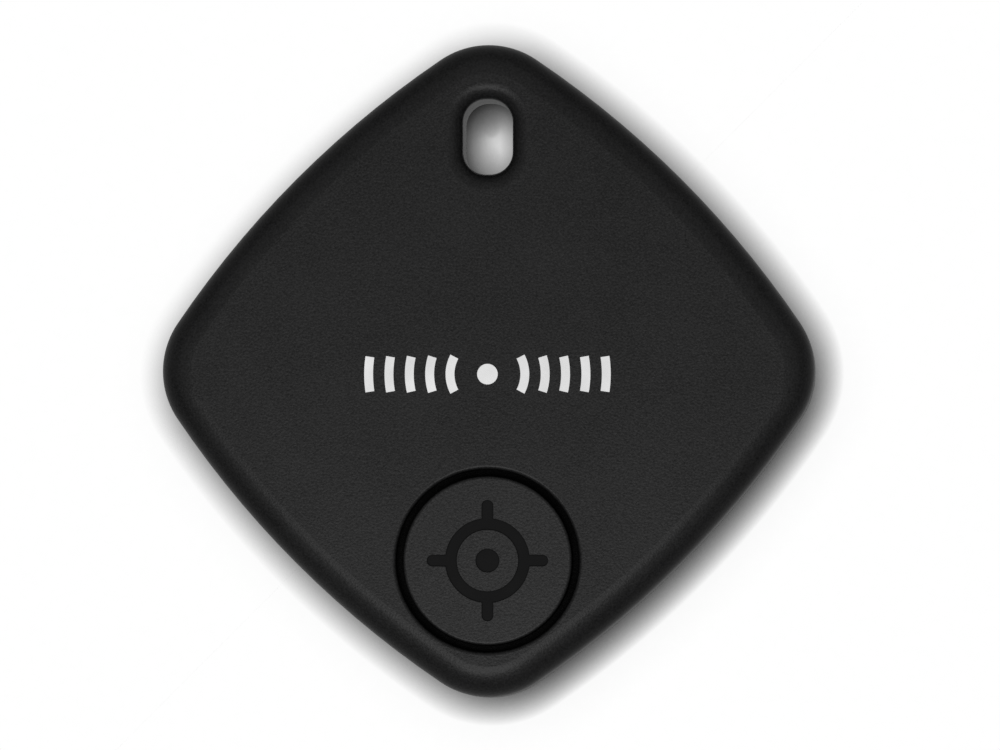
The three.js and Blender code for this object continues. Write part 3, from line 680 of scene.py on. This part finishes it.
def cut_slot(shell):
    """Cuts the key ring slot: smooth straight walls that flare out at both faces."""
    beyond = 1.5
    corners = [
        (SLOT_FLARE + beyond, 0, 0),
        (0, 0, SLOT_FLARE),
        (0, THICKNESS, SLOT_FLARE),
        (SLOT_FLARE + beyond, THICKNESS, 0),
    ]
    flare = section(corners, steps=12)[1:-1]
    line = [(SLOT_FLARE, -beyond), *flare, (SLOT_FLARE, THICKNESS + beyond)]
    bands = [int(lower[0] == upper[0] == 0) for lower, upper in zip(line, line[1:])]
    cut(shell, slot_loft(line, bands=bands), SHELL_BLACK, SLOT_BLACK)


def front_shell():
    corners = [
        (6 * WALL, CEILING, 0),
        (WALL, CEILING, 0.5),
        (WALL, BEAD_Z + 0.22, 0.05),
        (GROOVE_INSET, BEAD_Z, 0.08),
        (WALL, BEAD_Z - 0.22, 0.05),
        (WALL, REBATE_TOP, 0.06),
        (REBATE_INSET, REBATE_TOP, 0.06),
        (REBATE_INSET, FRONT_RIM, 0.06),
        (0, FRONT_RIM, RIM_EDGE),
        (0, THICKNESS, EDGE_FILLET),
        (2 * EDGE_FILLET, THICKNESS, 0),
    ]
    shell = to_object("front_shell_moulding", tag_loft(section(corners, steps=10)[1:-1]), SHELL_BLACK)
    into_skin = CEILING + FRONT_SKIN / 2
    lip = SLOT_LIP + JOINT_GAP
    join(shell, slot_loft([(SLOT_WALL, SLOT_LEDGE + 0.53), (SLOT_WALL, into_skin)]))
    cut(shell, slot_loft([(lip, 0), (lip, SLOT_LIP_TOP + JOINT_GAP)]))
    for screw in SCREWS:
        join(shell, disc(BOSS_RADIUS, BOARD.z1 + 0.02, into_skin, screw.place, steps=40))
    cut_slot(shell)
    below = CEILING - 1
    hole = section([(0, below, 0), (HOLE_RADIUS, below, 0), (HOLE_RADIUS, THICKNESS, HOLE_LIP),
                    (HOLE_RADIUS + 1, THICKNESS, 0)], steps=8)[:-1]
    above = [(hole[-1][0], THICKNESS + 1), (0, THICKNESS + 1)]
    cut(shell, turned(hole + above, BUTTON_PLACE, steps=160))
    cut(shell, disc(PIEZO.radius + PIEZO_SEAT, below, CEILING + PIEZO_SEAT, PIEZO.place))
    for screw in SCREWS:
        cut(shell, disc(PILOT_RADIUS, BOARD.z0, screw.z1 + 0.15, screw.place, steps=32))
    cut(shell, print_marks(THICKNESS - INK_DEPTH - INK_STEP, THICKNESS + 1))
    finish_piece(shell, "front_shell")


def tongue_ribs():
    """Short ribs that brace the tongue, three to a side."""
    length, width, top, overlap = 2.6, 0.7, 2.4, 0.3
    middle = HALF_FLAT - TONGUE_INNER - length / 2 + overlap
    for side in range(4):
        for along in (-5, 0, 5):
            outline = rounded_rectangle(length, width, 0.2, (middle, along), steps=3)
            yield moved(prism(outline, BACK_SKIN - overlap, top), QUARTER / 2 + side * QUARTER)


def rear_cover():
    corners = [
        (2 * EDGE_FILLET, 0, 0),
        (0, 0, EDGE_FILLET),
        (0, REAR_RIM, RIM_EDGE),
        (TONGUE_OUTER, REAR_RIM, 0.05),
        (TONGUE_OUTER, BEAD_Z - 0.15, 0.05),
        (BEAD_INSET, BEAD_Z, 0.08),
        (TONGUE_OUTER, BEAD_Z + 0.15, 0.05),
        (TONGUE_OUTER, REAR.z1, 0.15),
        (TONGUE_INNER, REAR.z1, 0.1),
        (TONGUE_INNER, BACK_SKIN, 0.5),
        (6, BACK_SKIN, 0),
    ]
    cover = to_object("rear_cover_moulding", tag_loft(section(corners, steps=8)[1:-1]), SHELL_BLACK)
    in_skin = BACK_SKIN / 2
    tube = [(SLOT_WALL, in_skin), (SLOT_WALL, SLOT_LEDGE), (SLOT_LIP, SLOT_LEDGE), (SLOT_LIP, SLOT_LIP_TOP)]
    join(cover, slot_loft(tube))
    for rib in tongue_ribs():
        join(cover, rib)
    pad_rim_inner, pad_rim_outer, pad_rim_height = 8.6, 9.1, 0.18
    pad_rim_top = BACK_SKIN + pad_rim_height
    join(cover, turned_ring(pad_rim_inner, pad_rim_outer, in_skin, pad_rim_top, CELL_PLACE, edge=0.08))
    reach, mark_radius, mark_depth = 13.5, 1.1, 0.04
    for ejector in ((reach, 0), (-reach, 0), (0, -reach), (0, reach - 2)):
        cut(cover, disc(mark_radius, BACK_SKIN - mark_depth, BACK_SKIN + 1, ejector, steps=48))
    cut_slot(cover)
    width, reach_in, depth = 4.2, 1.6, 0.67
    pry_notch = soft_block(width, reach_in, REAR_RIM - depth, REAR_RIM + 1, (0, HALF_DIAGONAL), 0.4, 0.15)
    cut(cover, pry_notch)
    finish_piece(cover, "rear_cover")


# Button and print

SYMBOL_DEPTH = 0.1
SYMBOL_STROKE = 0.75
SYMBOL_RING = 2.55
SYMBOL_DOT = 0.8
SYMBOL_REACH = 4.2
SYMBOL_RIM = 0.04


def recess_side(across):
    """A section up the side of the symbol's recess, round its softened rim and out above the cap."""
    floor = THICKNESS - SYMBOL_DEPTH
    corners = [(across, floor, 0), (across, THICKNESS, SYMBOL_RIM), (across + 1, THICKNESS, 0)]
    return [*section(corners)[:-1], (across + SYMBOL_RIM, THICKNESS + 1)]


def sunk(outline_of):
    """A recess in the front face. outline_of(growth) gives its outline."""
    return loft([(outline_of(growth), z) for growth, z in recess_side(0)])


def sunk_ring():
    outer = recess_side(SYMBOL_STROKE / 2)
    line = [(SYMBOL_RING + across, z) for across, z in outer]
    line += [(SYMBOL_RING - across, z) for across, z in reversed(outer)]
    return turned(line, BUTTON_PLACE, closed=True)


def sunk_tick(angle):
    """A short round-ended bar that runs outwards from the symbol's ring."""
    middle = ((SYMBOL_RING + SYMBOL_REACH) / 2, 0)
    length = SYMBOL_REACH - SYMBOL_RING

    def outline(growth):
        width = SYMBOL_STROKE + 2 * growth
        return rounded_rectangle(length + 2 * growth, width, 0.499 * width, middle, steps=10)

    return moved(sunk(outline), angle, (*BUTTON_PLACE, 0))


def button_cap():
    """The push button, with a sunk locate symbol: a ring, a dot and four ticks."""
    underside, skirt_inner = 6.9, 5.0
    line = section([
        (0, STEM_BOTTOM, 0),
        (STEM_RADIUS, STEM_BOTTOM, 0.1),
        (STEM_RADIUS, underside, 0.1),
        (skirt_inner, underside, 0.2),
        (skirt_inner, CAP.z0, 0.06),
        (CAP.radius, CAP.z0, 0.08),
        (CAP.radius, FLANGE_TOP, 0.08),
        (CAP_RADIUS, FLANGE_TOP, 0.05),
        (CAP_RADIUS, THICKNESS, 0.2),
        (0, THICKNESS, 0),
    ], steps=6)
    cap = to_object("button_cap_moulding", turned(line, BUTTON_PLACE, steps=160), CAP_BLACK)
    cut(cap, sunk_ring(), SYMBOL_BLACK)
    cut(cap, sunk(lambda growth: circle(SYMBOL_DOT + growth, BUTTON_PLACE, 48)), SYMBOL_BLACK)
    for quarter in range(4):
        cut(cap, sunk_tick(quarter * QUARTER), SYMBOL_BLACK)
    finish_piece(cap, "button_cap")


PRINT_PLACE = (0, -0.3)
PRINT_HALF_WIDTH = 8.6
PRINT_HALF_HEIGHT = 1.22
PRINT_STROKE = 0.62
PRINT_WAVES = 5
PRINT_SPACING = 1.42
PRINT_DOT = 0.72
INK_DEPTH = 0.03
INK_STEP = 0.002


def wave_stroke(radius, facing):
    """The outline of a curved stroke about the print's middle, as tall as the print."""
    half_span = math.asin(PRINT_HALF_HEIGHT / radius)
    half = PRINT_STROKE / 2
    outer = arc(PRINT_PLACE, radius + half, facing - half_span, facing + half_span, 24)
    inner = arc(PRINT_PLACE, radius - half, facing + half_span, facing - half_span, 24)
    return outer + inner


def print_marks(low, high):
    """A plain wireless sign: a dot with waves to each side."""
    marks = [prism(circle(PRINT_DOT, PRINT_PLACE, 48), low, high)]
    for wave in range(PRINT_WAVES):
        radius = PRINT_HALF_WIDTH - PRINT_STROKE / 2 - wave * PRINT_SPACING
        for facing in (0, TURN / 2):
            marks.append(prism(wave_stroke(radius, facing), low, high))
    return merged(*marks)


def front_print():
    """White ink that fills shallow marks, level with the front face."""
    marks = print_marks(THICKNESS - INK_DEPTH, THICKNESS - INK_STEP)
    add_piece("front_print_waves", marks, [INK], slot="shell_plastic")


# Seals and pads

def perimeter_gasket():
    box = span("perimeter_gasket")
    outer = HALF_DIAGONAL - box.x1
    width, edge = 0.63, 0.22
    cord = tag_loft(cord_section(outer, outer + width, box.z0, box.z1, edge), closed=True)
    add_piece("perimeter_gasket_cord", cord, [RUBBER], "perimeter_gasket")


def slot_seal():
    clearance, edge = 0.03, 0.15
    outer, inner = SLOT_WALL - clearance, SLOT_LIP + clearance
    cord = slot_loft(cord_section(outer, inner, SLOT_SEAL.z0, SLOT_SEAL.z1, edge), closed=True)
    add_piece("slot_seal_cord", cord, [RUBBER], "slot_seal_ring")


def cell_pad():
    box = span("battery_foam_pad")
    pad = disc(box.radius, box.z0, box.z1, box.place, 0.07)
    add_piece("battery_foam_disc", pad, [FOAM], "battery_foam_pad")


def button_seal():
    """The rubber bellows under the button's flange, with one fold."""
    box = span("button_seal_pad")
    inner, outer, fold = 5.2, box.radius, 0.2
    corners = [
        (inner, box.z0, 0.05), (outer, box.z0, 0.05), (outer - fold, box.z, 0.1),
        (outer, box.z1, 0.05), (inner, box.z1, 0.05), (inner + fold, box.z, 0.1),
    ]
    bellows = turned(section(corners, closed=True), box.place, closed=True)
    pad = add_piece("button_seal_bellows", bellows, [RUBBER], "button_seal_pad")
    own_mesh(pad)


# Coin cell

def coin_cell():
    radius, bottom, top = CELL.radius, CELL.z0, CELL_CAP.z1
    skin = 0.28
    crimp = top - 0.2
    can = section([
        (0, bottom, 0),
        (radius, bottom, 0.4),
        (radius, crimp, 0.5),
        (radius - 0.65, crimp, 0.05),
        (radius - skin, top - 0.7, 0.05),
        (radius - skin, bottom + skin, 0.2),
        (0, bottom + skin, 0),
    ], steps=8)
    can_piece = to_object("cell_can_drawn", turned(can, CELL_PLACE, steps=160), STEEL)
    cut(can_piece, turned_ring(7.75, 7.95, bottom - 1, bottom + 0.03, CELL_PLACE, 0.01))
    for length, width in ((3.2, 0.7), (0.7, 3.2)):
        cut(can_piece, soft_block(length, width, bottom - 1, bottom + 0.04, CELL_PLACE, 0.1, 0.01))
    finish_piece(can_piece, "battery_can")
    cap = section([
        (0, top - skin, 0),
        (8.35, top - skin, 0.1),
        (8.7, top - 0.6, 0.1),
        (8.8, CELL_CAP.z0, 0.05),
        (9.05, CELL_CAP.z0, 0.05),
        (8.98, top - 0.6, 0.2),
        (8.5, top, 0.25),
        (0, top, 0),
    ])
    add_piece("cell_cap_drawn", turned(cap, CELL_PLACE), [STEEL], "battery_cap")
    box = span("battery_seal_ring")
    ring = [(9.15, box.z0, 0.05), (9.65, box.z0, 0.05), (9.65, box.z1 - 0.4, 0.1), (9.25, box.z1, 0.05),
            (9.1, box.z1 - 0.05, 0.02)]
    seal = turned(section(ring, closed=True), CELL_PLACE, closed=True)
    add_piece("cell_crimp_seal", seal, [RUBBER], "battery_seal_ring")
    for node, name, material in (("battery_cathode", "cell_cathode_pellet", CATHODE),
                                 ("battery_anode", "cell_anode_disc", LITHIUM)):
        box = span(node)
        pellet = disc(box.radius, box.z0, box.z1, box.place, 0.08)
        add_piece(name, pellet, [material], node)


# Tray, screws and contacts

def battery_tray():
    bore, outer, ear_z, ear_radius, ear_hole = 10.25, 11.2, 3.75, 1.9, 0.8
    inside_wall = bore + 0.4
    centre = CELL_PLACE
    rim = turned_ring(bore, outer, TRAY.z0, TRAY.z1, centre, 0.12)
    tray = to_object("battery_tray_moulding", rim, TRAY_PLASTIC)
    for screw in SCREWS:
        across, along = screw.x, screw.y - centre[1]
        reach = math.hypot(across, along)
        middle = ((reach + inside_wall) / 2, 0)
        arm = soft_block(reach - inside_wall, 2.4, ear_z, TRAY.z1, middle, 0.05, 0.1)
        join(tray, moved(arm, math.atan2(along, across), (*centre, 0)))
        join(tray, disc(ear_radius, ear_z, TRAY.z1, screw.place, 0.1, steps=48))
    for screw in SCREWS:
        cut(tray, disc(ear_hole, ear_z - 1, TRAY.z1 + 1, screw.place, steps=32))
    cut(tray, soft_block(3, 4.4, 1.9, TRAY.z1 + 1, (-outer, centre[1]), radius=0.2, edge=0.1))
    finish_piece(tray, "battery_tray")


def tray_screw(number, box):
    """A pan-head screw, head downwards, with a cross recess and a thread drawn as ridges."""
    head, shank, core, pitch = 1.2, 0.62, 0.5, 0.34
    line = section([(0, box.z0, 0), (head, box.z0, 0.3), (head, box.z0 + 0.6, 0.05)])
    line += [(shank, box.z0 + 0.6), (core, box.z0 + 0.75)]
    ridges = int((box.z1 - 0.4 - line[-1][1]) / pitch)
    for _ in range(ridges):
        z = line[-1][1]
        line += [(core, z + 0.3 * pitch), (shank, z + 0.65 * pitch), (core, z + pitch)]
    line += [(0.12, box.z1 - 0.05), (0, box.z1)]
    screw = to_object(f"tray_screw_{number}_pan_head", turned(line, box.place, steps=48), NICKEL)
    for length, width in ((1.3, 0.3), (0.3, 1.3)):
        rings = []
        for growth, z in ((0.06, box.z0 - 0.2), (0, box.z0), (-0.1, box.z0 + 0.34)):
            outline = rounded_rectangle(length + 2 * growth, width + growth, 0.05, box.place, 3)
            rings.append((outline, z))
        cut(screw, loft(rings))
    finish_piece(screw, f"tray_screw_{number}")


def contacts():
    clip = span("positive_contact_clip")
    thick = 0.18
    foot = clip.z1 - thick / 2
    leaf = clip.x1 - thick / 2
    line = [(clip.x0, foot, 0), (leaf, foot, 0.2), (leaf, clip.z0, 0)]
    bent = strip(line, thick, clip.length, clip.y)
    add_piece("positive_contact_strip", bent, [NICKEL], "positive_contact_clip")
    leaf = span("negative_contact_spring")
    thick = 0.1
    low, high = leaf.z0 + thick / 2, leaf.z1 - thick / 2
    foot, top = 3.2, 1.6
    line = [(leaf.x0, low, 0), (-foot, low, 0.3), (-top, high, 0.6),
            (top, high, 0.6), (foot, low, 0.3), (leaf.x1, low, 0)]
    bent = strip(line, thick, leaf.length, leaf.y)
    add_piece("negative_contact_leaf", bent, [NICKEL], "negative_contact_spring")


# Sounder and switch

def sounder():
    place = PIEZO.place
    ceramic, glue = span("piezo_ceramic"), span("piezo_adhesive_ring")
    plate = disc(PIEZO.radius, PIEZO.z0, PIEZO.z1, place, 0.03)
    add_piece("sounder_plate", plate, [BRASS], "piezo_plate")
    silvered = ceramic.z0 + 0.02
    silver_radius = ceramic.radius - 0.4
    line = [(0, ceramic.z0), (silver_radius, ceramic.z0), (silver_radius, silvered),
            (ceramic.radius, silvered), (ceramic.radius, ceramic.z1), (0, ceramic.z1)]
    element = to_object("sounder_ceramic", turned(line, place), WHITE_CERAMIC, SILVER)
    for face in element.data.polygons:
        face.material_index = int(face.center.z < silvered - 0.005)
    finish_piece(element, "piezo_ceramic")
    bead = turned_ring(6.4, glue.radius, glue.z0, glue.z1, place, 0.035)
    add_piece("sounder_glue_bead", bead, [GLUE], "piezo_adhesive_ring")
    for where in ("outer", "inner"):
        box = span(f"buzzer_spring_{where}")
        spring = coil(0.55, 0.11, BOARD.z1 + 0.02, box.z1, 4, box.place)
        add_piece(f"sounder_spring_{where}", spring, [BRASS], f"buzzer_spring_{where}", sharp_degrees=60)


def tactile_switch():
    box, plate = span("switch_housing"), span("switch_cover_plate")
    dome, plunger = span("switch_dome"), span("switch_plunger")
    well_radius, well_floor, plate_hole = 1.8, 5.5, 1.12
    block = soft_block(box.width, box.length, box.z0, box.z1, BUTTON_PLACE, 0.3, 0.06)
    housing = to_object("switch_housing_moulding", block, RESIN)
    cut(housing, disc(well_radius, well_floor, box.z1 + 1, BUTTON_PLACE, steps=64))
    finish_piece(housing, "switch_housing")
    sheet = soft_block(plate.width, plate.length, plate.z0, plate.z1, BUTTON_PLACE, 0.3, 0.03)
    cover = to_object("switch_cover_pressing", sheet, NICKEL)
    cut(cover, disc(plate_hole, plate.z0 - 1, plate.z1 + 1, BUTTON_PLACE, steps=64))
    finish_piece(cover, "switch_cover_plate")
    thick = 0.08
    crown = section([(dome.radius, dome.z0, 0), (1.25, dome.z1 - 0.1, 0.4),
                     (0.7, dome.z1 - thick / 4, 0.8), (0, dome.z1, 0)])
    under = [(0, dome.z1 - thick), (0.7, dome.z1 - 1.3 * thick),
             (1.2, dome.z0 + thick / 2), (1.5, dome.z0)]
    pressing = turned(crown + under, BUTTON_PLACE, closed=True)
    snap = add_piece("switch_dome_pressing", pressing, [NICKEL], "switch_dome")
    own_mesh(snap)
    shoulder, tip_radius = 5.96, 1.0
    line = section([
        (0, plunger.z0, 0),
        (plunger.radius, plunger.z0, 0.04),
        (plunger.radius, shoulder, 0.04),
        (tip_radius, shoulder, 0.03),
        (tip_radius, plunger.z1, 0.08),
        (0, plunger.z1, 0),
    ])
    add_piece("switch_plunger_moulding", turned(line, BUTTON_PLACE, steps=64), [RESIN], "switch_plunger")


# Board and its parts

def circuit_board():
    edge = 0.04
    inset = HALF_DIAGONAL - BOARD.x1
    line = [(inset + edge, BOARD.z0), (inset, BOARD.z0 + edge),
            (inset, BOARD.z1 - edge), (inset + edge, BOARD.z1)]
    board = to_object("circuit_board_panel", tag_loft(line, bands=[0, 1, 0]), GREEN_BOARD, LAMINATE)
    around = SLOT_WALL + 0.35
    notch_end = SLOT_Y - SLOT_LENGTH / 2 - around
    middle = (0, notch_end + HALF_FLAT / 2)
    below, above, screw_hole = BOARD.z0 - 1, BOARD.z1 + 1, 0.8
    outline = rounded_rectangle(SLOT_WIDTH + 2 * around, HALF_FLAT, 0.5, middle)
    cut(board, prism(outline, below, above), LAMINATE)
    for screw in SCREWS:
        cut(board, disc(screw_hole, below, above, screw.place, steps=40), LAMINATE)
    finish_piece(board, "circuit_board")


COPPER = 0.02
TRACE_WIDTH = 0.22
TRACE_RADII = (12.1, 12.6, 13.1)


def annulus(inner, outer, low, high, centre, steps=32):
    line = [(inner, low), (outer, low), (outer, high), (inner, high)]
    return turned(line, centre, closed=True, steps=steps)


def board_underside():
    """Pads, vias and tracks round the tray on the side that shows when the tag is open."""
    low, high = BOARD.z0 - COPPER, BOARD.z0 + 0.01
    pads = []
    for screw in SCREWS:
        pads.append(annulus(0.95, 1.6, low, high, screw.place))
    test_pads, pad_pitch, pad_row = 5, 1.6, -14.2
    for i in range(test_pads):
        pads.append(prism(circle(0.5, ((i - test_pads // 2) * pad_pitch, pad_row), steps=32), low, high))
    tracks = []
    for number, radius in enumerate(TRACE_RADII):
        for side in (0, 2, 3):
            start = side * QUARTER - QUARTER / 8 + number * 0.05
            end = side * QUARTER + QUARTER / 8 - number * 0.05
            outer = arc(CELL_PLACE, radius + TRACE_WIDTH / 2, start, end, 16)
            inner = arc(CELL_PLACE, radius - TRACE_WIDTH / 2, end, start, 16)
            tracks.append(prism(outer + inner, low, high))
            for via in arc(CELL_PLACE, radius, start, end, 1):
                pads.append(annulus(0.12, 0.28, low - 0.01, high, via, steps=20))
    add_piece("board_gold_pads", merged(*pads), [GOLD], slot="plated_steel")
    add_piece("board_tracks", merged(*tracks), [GREEN_TRACE], slot="board_laminate")


def along_box(mesh, box):
    """Lays a part, lofted upwards with its height along Y, along the longer side of a box."""
    for vertex in mesh.verts:
        across, height, along = vertex.co
        if box.width > box.length:
            vertex.co = (box.x + along, box.y + across, box.z + height)
        else:
            vertex.co = (box.x - across, box.y + along, box.z + height)
    return mesh


def end_capped(node, name, body_material, share=0.22):
    """A chip part whose long side ends in two tinned caps."""
    box = span(node)
    half = max(box.width, box.length) / 2
    width = min(box.width, box.length)
    cap = 2 * half * share
    edge, step = 0.05, 0.02
    rings = []
    for along, inset in ((-half, edge), (-half + edge, 0), (-half + cap, 0), (-half + cap, step),
                         (half - cap, step), (half - cap, 0), (half - edge, 0), (half, edge)):
        outline = rounded_rectangle(width - 2 * inset, box.height - 2 * inset, 0.07, steps=3)
        rings.append((outline, along))
    mesh = along_box(loft(rings, bands=[1, 1, 1, 0, 1, 1, 1]), box)
    add_piece(name, mesh, [body_material, TIN], node)


def lidded(node, name):
    """A crystal: a ceramic tray with a seam-welded metal lid."""
    box = span(node)
    base = box.z0 + 0.4 * box.height
    line = [(0.03, box.z0), (0, box.z0 + 0.03), (0, base),
            (0.1, base), (0.1, box.z1 - 0.05), (0.15, box.z1)]
    mesh = box_loft(box, line, radius=0.2, steps=4, bands=[1, 1, 1, 0, 0])
    add_piece(name, mesh, [NICKEL, WHITE_CERAMIC], node)


def radio_chip():
    box = span("radio_chip")
    package = soft_block(box.width, box.length, box.z0, box.z1, box.place, 0.05, 0.03)
    body = to_object("radio_chip_package", package, RESIN)
    dot = (box.x0 + 0.6, box.y1 - 0.6)
    cut(body, disc(0.25, box.z1 - 0.05, box.z1 + 1, dot, steps=32))
    finish_piece(body, "radio_chip")
    pins = []
    pins_per_side, pitch = 8, 0.5
    for side in range(4):
        for i in range(pins_per_side):
            along = (i - (pins_per_side - 1) / 2) * pitch
            outline = rounded_rectangle(0.3, 0.24, 0.05, (box.width / 2 - 0.12, along), steps=2)
            pad = prism(outline, box.z0 - 0.01, box.z0 + 0.2)
            pins.append(moved(pad, side * QUARTER, (box.x, box.y, 0)))
    add_piece("radio_chip_pins", merged(*pins), [TIN], slot="plated_steel")


def transistor():
    box = span("driver_transistor")
    line = [(0.08, box.z0 + 0.05), (0, box.z), (0.1, box.z1)]
    mesh = box_loft(box, line, radius=0.08, steps=3)
    add_piece("driver_transistor_body", mesh, [RESIN], "driver_transistor")
    legs = []
    edge = box.length / 2
    for across, facing in ((-0.95, 0), (0.95, 0), (0, 1)):
        line = [(edge - 0.1, box.z, 0), (edge + 0.2, box.z, 0.08), (edge + 0.3, box.z0 + 0.06, 0.08),
                (edge + 0.55, box.z0 + 0.06, 0)]
        leg = strip(line, 0.1, 0.4, 0)
        turn = QUARTER if facing else -QUARTER
        legs.append(moved(leg, turn, (box.x + across, box.y, 0)))
    add_piece("driver_transistor_legs", merged(*legs), [TIN], slot="plated_steel")


def inductor():
    """A drum of ferrite: a round-cornered flange above and below a wound waist."""
    box = span("boost_inductor")
    edge, flange, waist, slope = 0.05, 0.25, 0.3, 0.3
    line = [(edge, box.z0), (0, box.z0 + edge), (0, box.z0 + flange), (waist, box.z0 + slope),
            (waist, box.z1 - slope), (0, box.z1 - flange), (0, box.z1 - edge), (edge, box.z1)]
    mesh = box_loft(box, line, radius=0.8, steps=5, bands=[0, 0, 0, 1, 0, 0, 0])
    add_piece("boost_inductor_drum", mesh, [FERRITE, BRASS], "boost_inductor")


def chip_antenna():
    end_capped("chip_antenna", "chip_antenna_block", WHITE_CERAMIC, share=0.1)
    box = span("chip_antenna")
    runs, margin, width, thickness = 8, 1.0, 0.2, 0.03
    pitch = (box.length - 2 * margin) / (runs - 1)
    reach = box.width / 2 - 0.4
    path = []
    for i in range(runs):
        y = box.y0 + margin + i * pitch
        side = reach if i % 2 else -reach
        path += [(box.x + side, y, 0.15), (box.x - side, y, 0.15)]
    meander = prism(band(path, width), box.z1 - thickness, box.z1)
    add_piece("chip_antenna_meander", meander, [SILVER], slot="plated_steel")


def board_parts():
    for number in range(1, 7):
        end_capped(f"capacitor_{number}", f"capacitor_{number}_chip", TAN_CERAMIC)
    for number in range(1, 4):
        end_capped(f"resistor_{number}", f"resistor_{number}_chip", RESIN)
    lidded("main_crystal", "main_crystal_package")
    lidded("clock_crystal", "clock_crystal_package")
    radio_chip()
    transistor()
    inductor()
    chip_antenna()


front_shell()
rear_cover()
button_cap()
front_print()
perimeter_gasket()
slot_seal()
cell_pad()
button_seal()
coin_cell()
battery_tray()
for number, box in enumerate(SCREWS, start=1):
    tray_screw(number, box)
contacts()
sounder()
tactile_switch()
circuit_board()
board_underside()
board_parts()


# Floor, light and camera

# HALO_TILT, SHADOWS and FROM_UPPER_LEFT shape the shadow painted on the paper.
HALO_TILT = math.radians(23)
SHADOWS = ((0.8, 0.4), (2.5, 2.1), (5.0, 0.1))
PAPER_IN_MIRROR = 0.32
FROM_UPPER_LEFT = Vector((-1, 1, 0)).normalized()
FLOOR_HALF_WIDTH = 4.0
SOFTBOX_SIZE = 0.12
SOFTBOX_ENERGY = 0.39
SOFTBOX_DISTANCE = 0.26
SOFTBOX_TOWARDS = Vector((-0.05, -0.38, 1)).normalized()
FILL_ENERGY = 1.7
FILL_DEGREES = 112
HORIZON_LEVEL = 0.22
ZENITH_LEVEL = 0.02
CAMERA_TOWARDS = Vector((0.037, -0.033, 1)).normalized()
CAMERA_TARGET = Vector((0.73, -0.23, THICKNESS / 2))
PICTURE_WIDTH = 70.0


def by_ray(tree, level, camera_level):
    """camera_level where the camera looks straight at a surface, and level in reflections."""
    is_camera = add_node(tree, "LightPath").outputs["Is Camera Ray"]
    return add_node(tree, "Mix", {0: is_camera, 2: level, 3: camera_level}).outputs[0]


def floor_material():
    """White paper that glows evenly, with a short soft painted shadow, heavier to the tag's lower right."""
    material = bpy.data.materials.new("white_paper")
    material.use_nodes = True
    material.cycles.emission_sampling = "NONE"
    tree = material.node_tree
    tree.nodes.clear()
    at = add_node(tree, "TexCoord").outputs["Object"]
    lean = FROM_UPPER_LEFT * math.sin(HALO_TILT)
    direction = {0: lean.x, 1: lean.y, 2: math.cos(HALO_TILT)}
    normal = add_node(tree, "CombineXYZ", direction).outputs[0]
    strength = spread(tree, noise(tree, at, 0.8), 0.995, 1.005)
    # Painted shadow: occlusion leaned towards the upper left darkens the paper's glow near the tag.
    for reach, power in SHADOWS:
        shadow = openness(tree, reach, power, samples=16, Normal=normal)
        strength = combined(tree, strength, shadow, "MULTIPLY")
    strength = by_ray(tree, PAPER_IN_MIRROR, strength)
    inputs = {"Color": (1, 1, 1, 1), "Strength": strength}
    glow = add_node(tree, "Emission", inputs).outputs[0]
    output = add_node(tree, "OutputMaterial")
    tree.links.new(glow, output.inputs["Surface"])
    return material


def add_floor():
    half = FLOOR_HALF_WIDTH
    mesh = bmesh.new()
    corners = ((-half, -half, 0), (half, -half, 0), (half, half, 0), (-half, half, 0))
    mesh.faces.new([mesh.verts.new(corner) for corner in corners])
    to_object("floor", mesh, floor_material())


def aim(thing, z):
    """Turns a lamp or camera so that it looks back along the unit vector z, with +Y upwards."""
    x = Vector((0, 1, 0)).cross(z).normalized()
    thing.matrix_world = Matrix((x, z.cross(x), z)).transposed().to_4x4()


def add_light():
    """A softbox close above the button end, and a wide even sky light over the rest."""
    box = bpy.data.lights.new("softbox", "AREA")
    box.size = SOFTBOX_SIZE
    box.energy = SOFTBOX_ENERGY
    softbox = bpy.data.objects.new("softbox", box)
    aim(softbox, SOFTBOX_TOWARDS)
    softbox.location = SOFTBOX_DISTANCE * SOFTBOX_TOWARDS
    softbox.visible_camera = False
    bpy.context.scene.collection.objects.link(softbox)
    fill = bpy.data.lights.new("overhead_fill", "SUN")
    fill.energy = FILL_ENERGY
    fill.angle = math.radians(FILL_DEGREES)
    overhead = bpy.data.objects.new("overhead_fill", fill)
    aim(overhead, Vector((0, 0, 1)))
    bpy.context.scene.collection.objects.link(overhead)


def add_world():
    """A white studio to the camera. The tag sees a dark room with a faintly lit horizon."""
    world = bpy.data.worlds.new("studio")
    world.use_nodes = True
    tree = world.node_tree
    direction = add_node(tree, "TexCoord").outputs["Generated"]
    height = add_node(tree, "SeparateXYZ", {0: direction}).outputs["Z"]
    inputs = {"Value": height, "From Min": 0.5, "From Max": 0.75,
              "To Min": HORIZON_LEVEL, "To Max": ZENITH_LEVEL}
    level = add_node(tree, "MapRange", inputs).outputs["Result"]
    background = tree.nodes["Background"]
    background.inputs["Color"].default_value = (1, 1, 1, 1)
    tree.links.new(by_ray(tree, level, 1.0), background.inputs["Strength"])
    bpy.context.scene.world = world


def add_camera():
    """A long lens above the tag, leaning slightly to its right and towards its button."""
    data = bpy.data.cameras.new("camera")
    data.lens = 500
    data.sensor_width = 36
    data.clip_end = 20
    distance = PICTURE_WIDTH * data.lens / data.sensor_width
    camera = bpy.data.objects.new("camera", data)
    aim(camera, CAMERA_TOWARDS)
    camera.location = (CAMERA_TARGET + CAMERA_TOWARDS * distance) * MM
    bpy.context.scene.collection.objects.link(camera)
    bpy.context.scene.camera = camera


add_floor()
add_light()
add_world()
add_camera()
bpy.context.scene.view_settings.view_transform = "Standard"
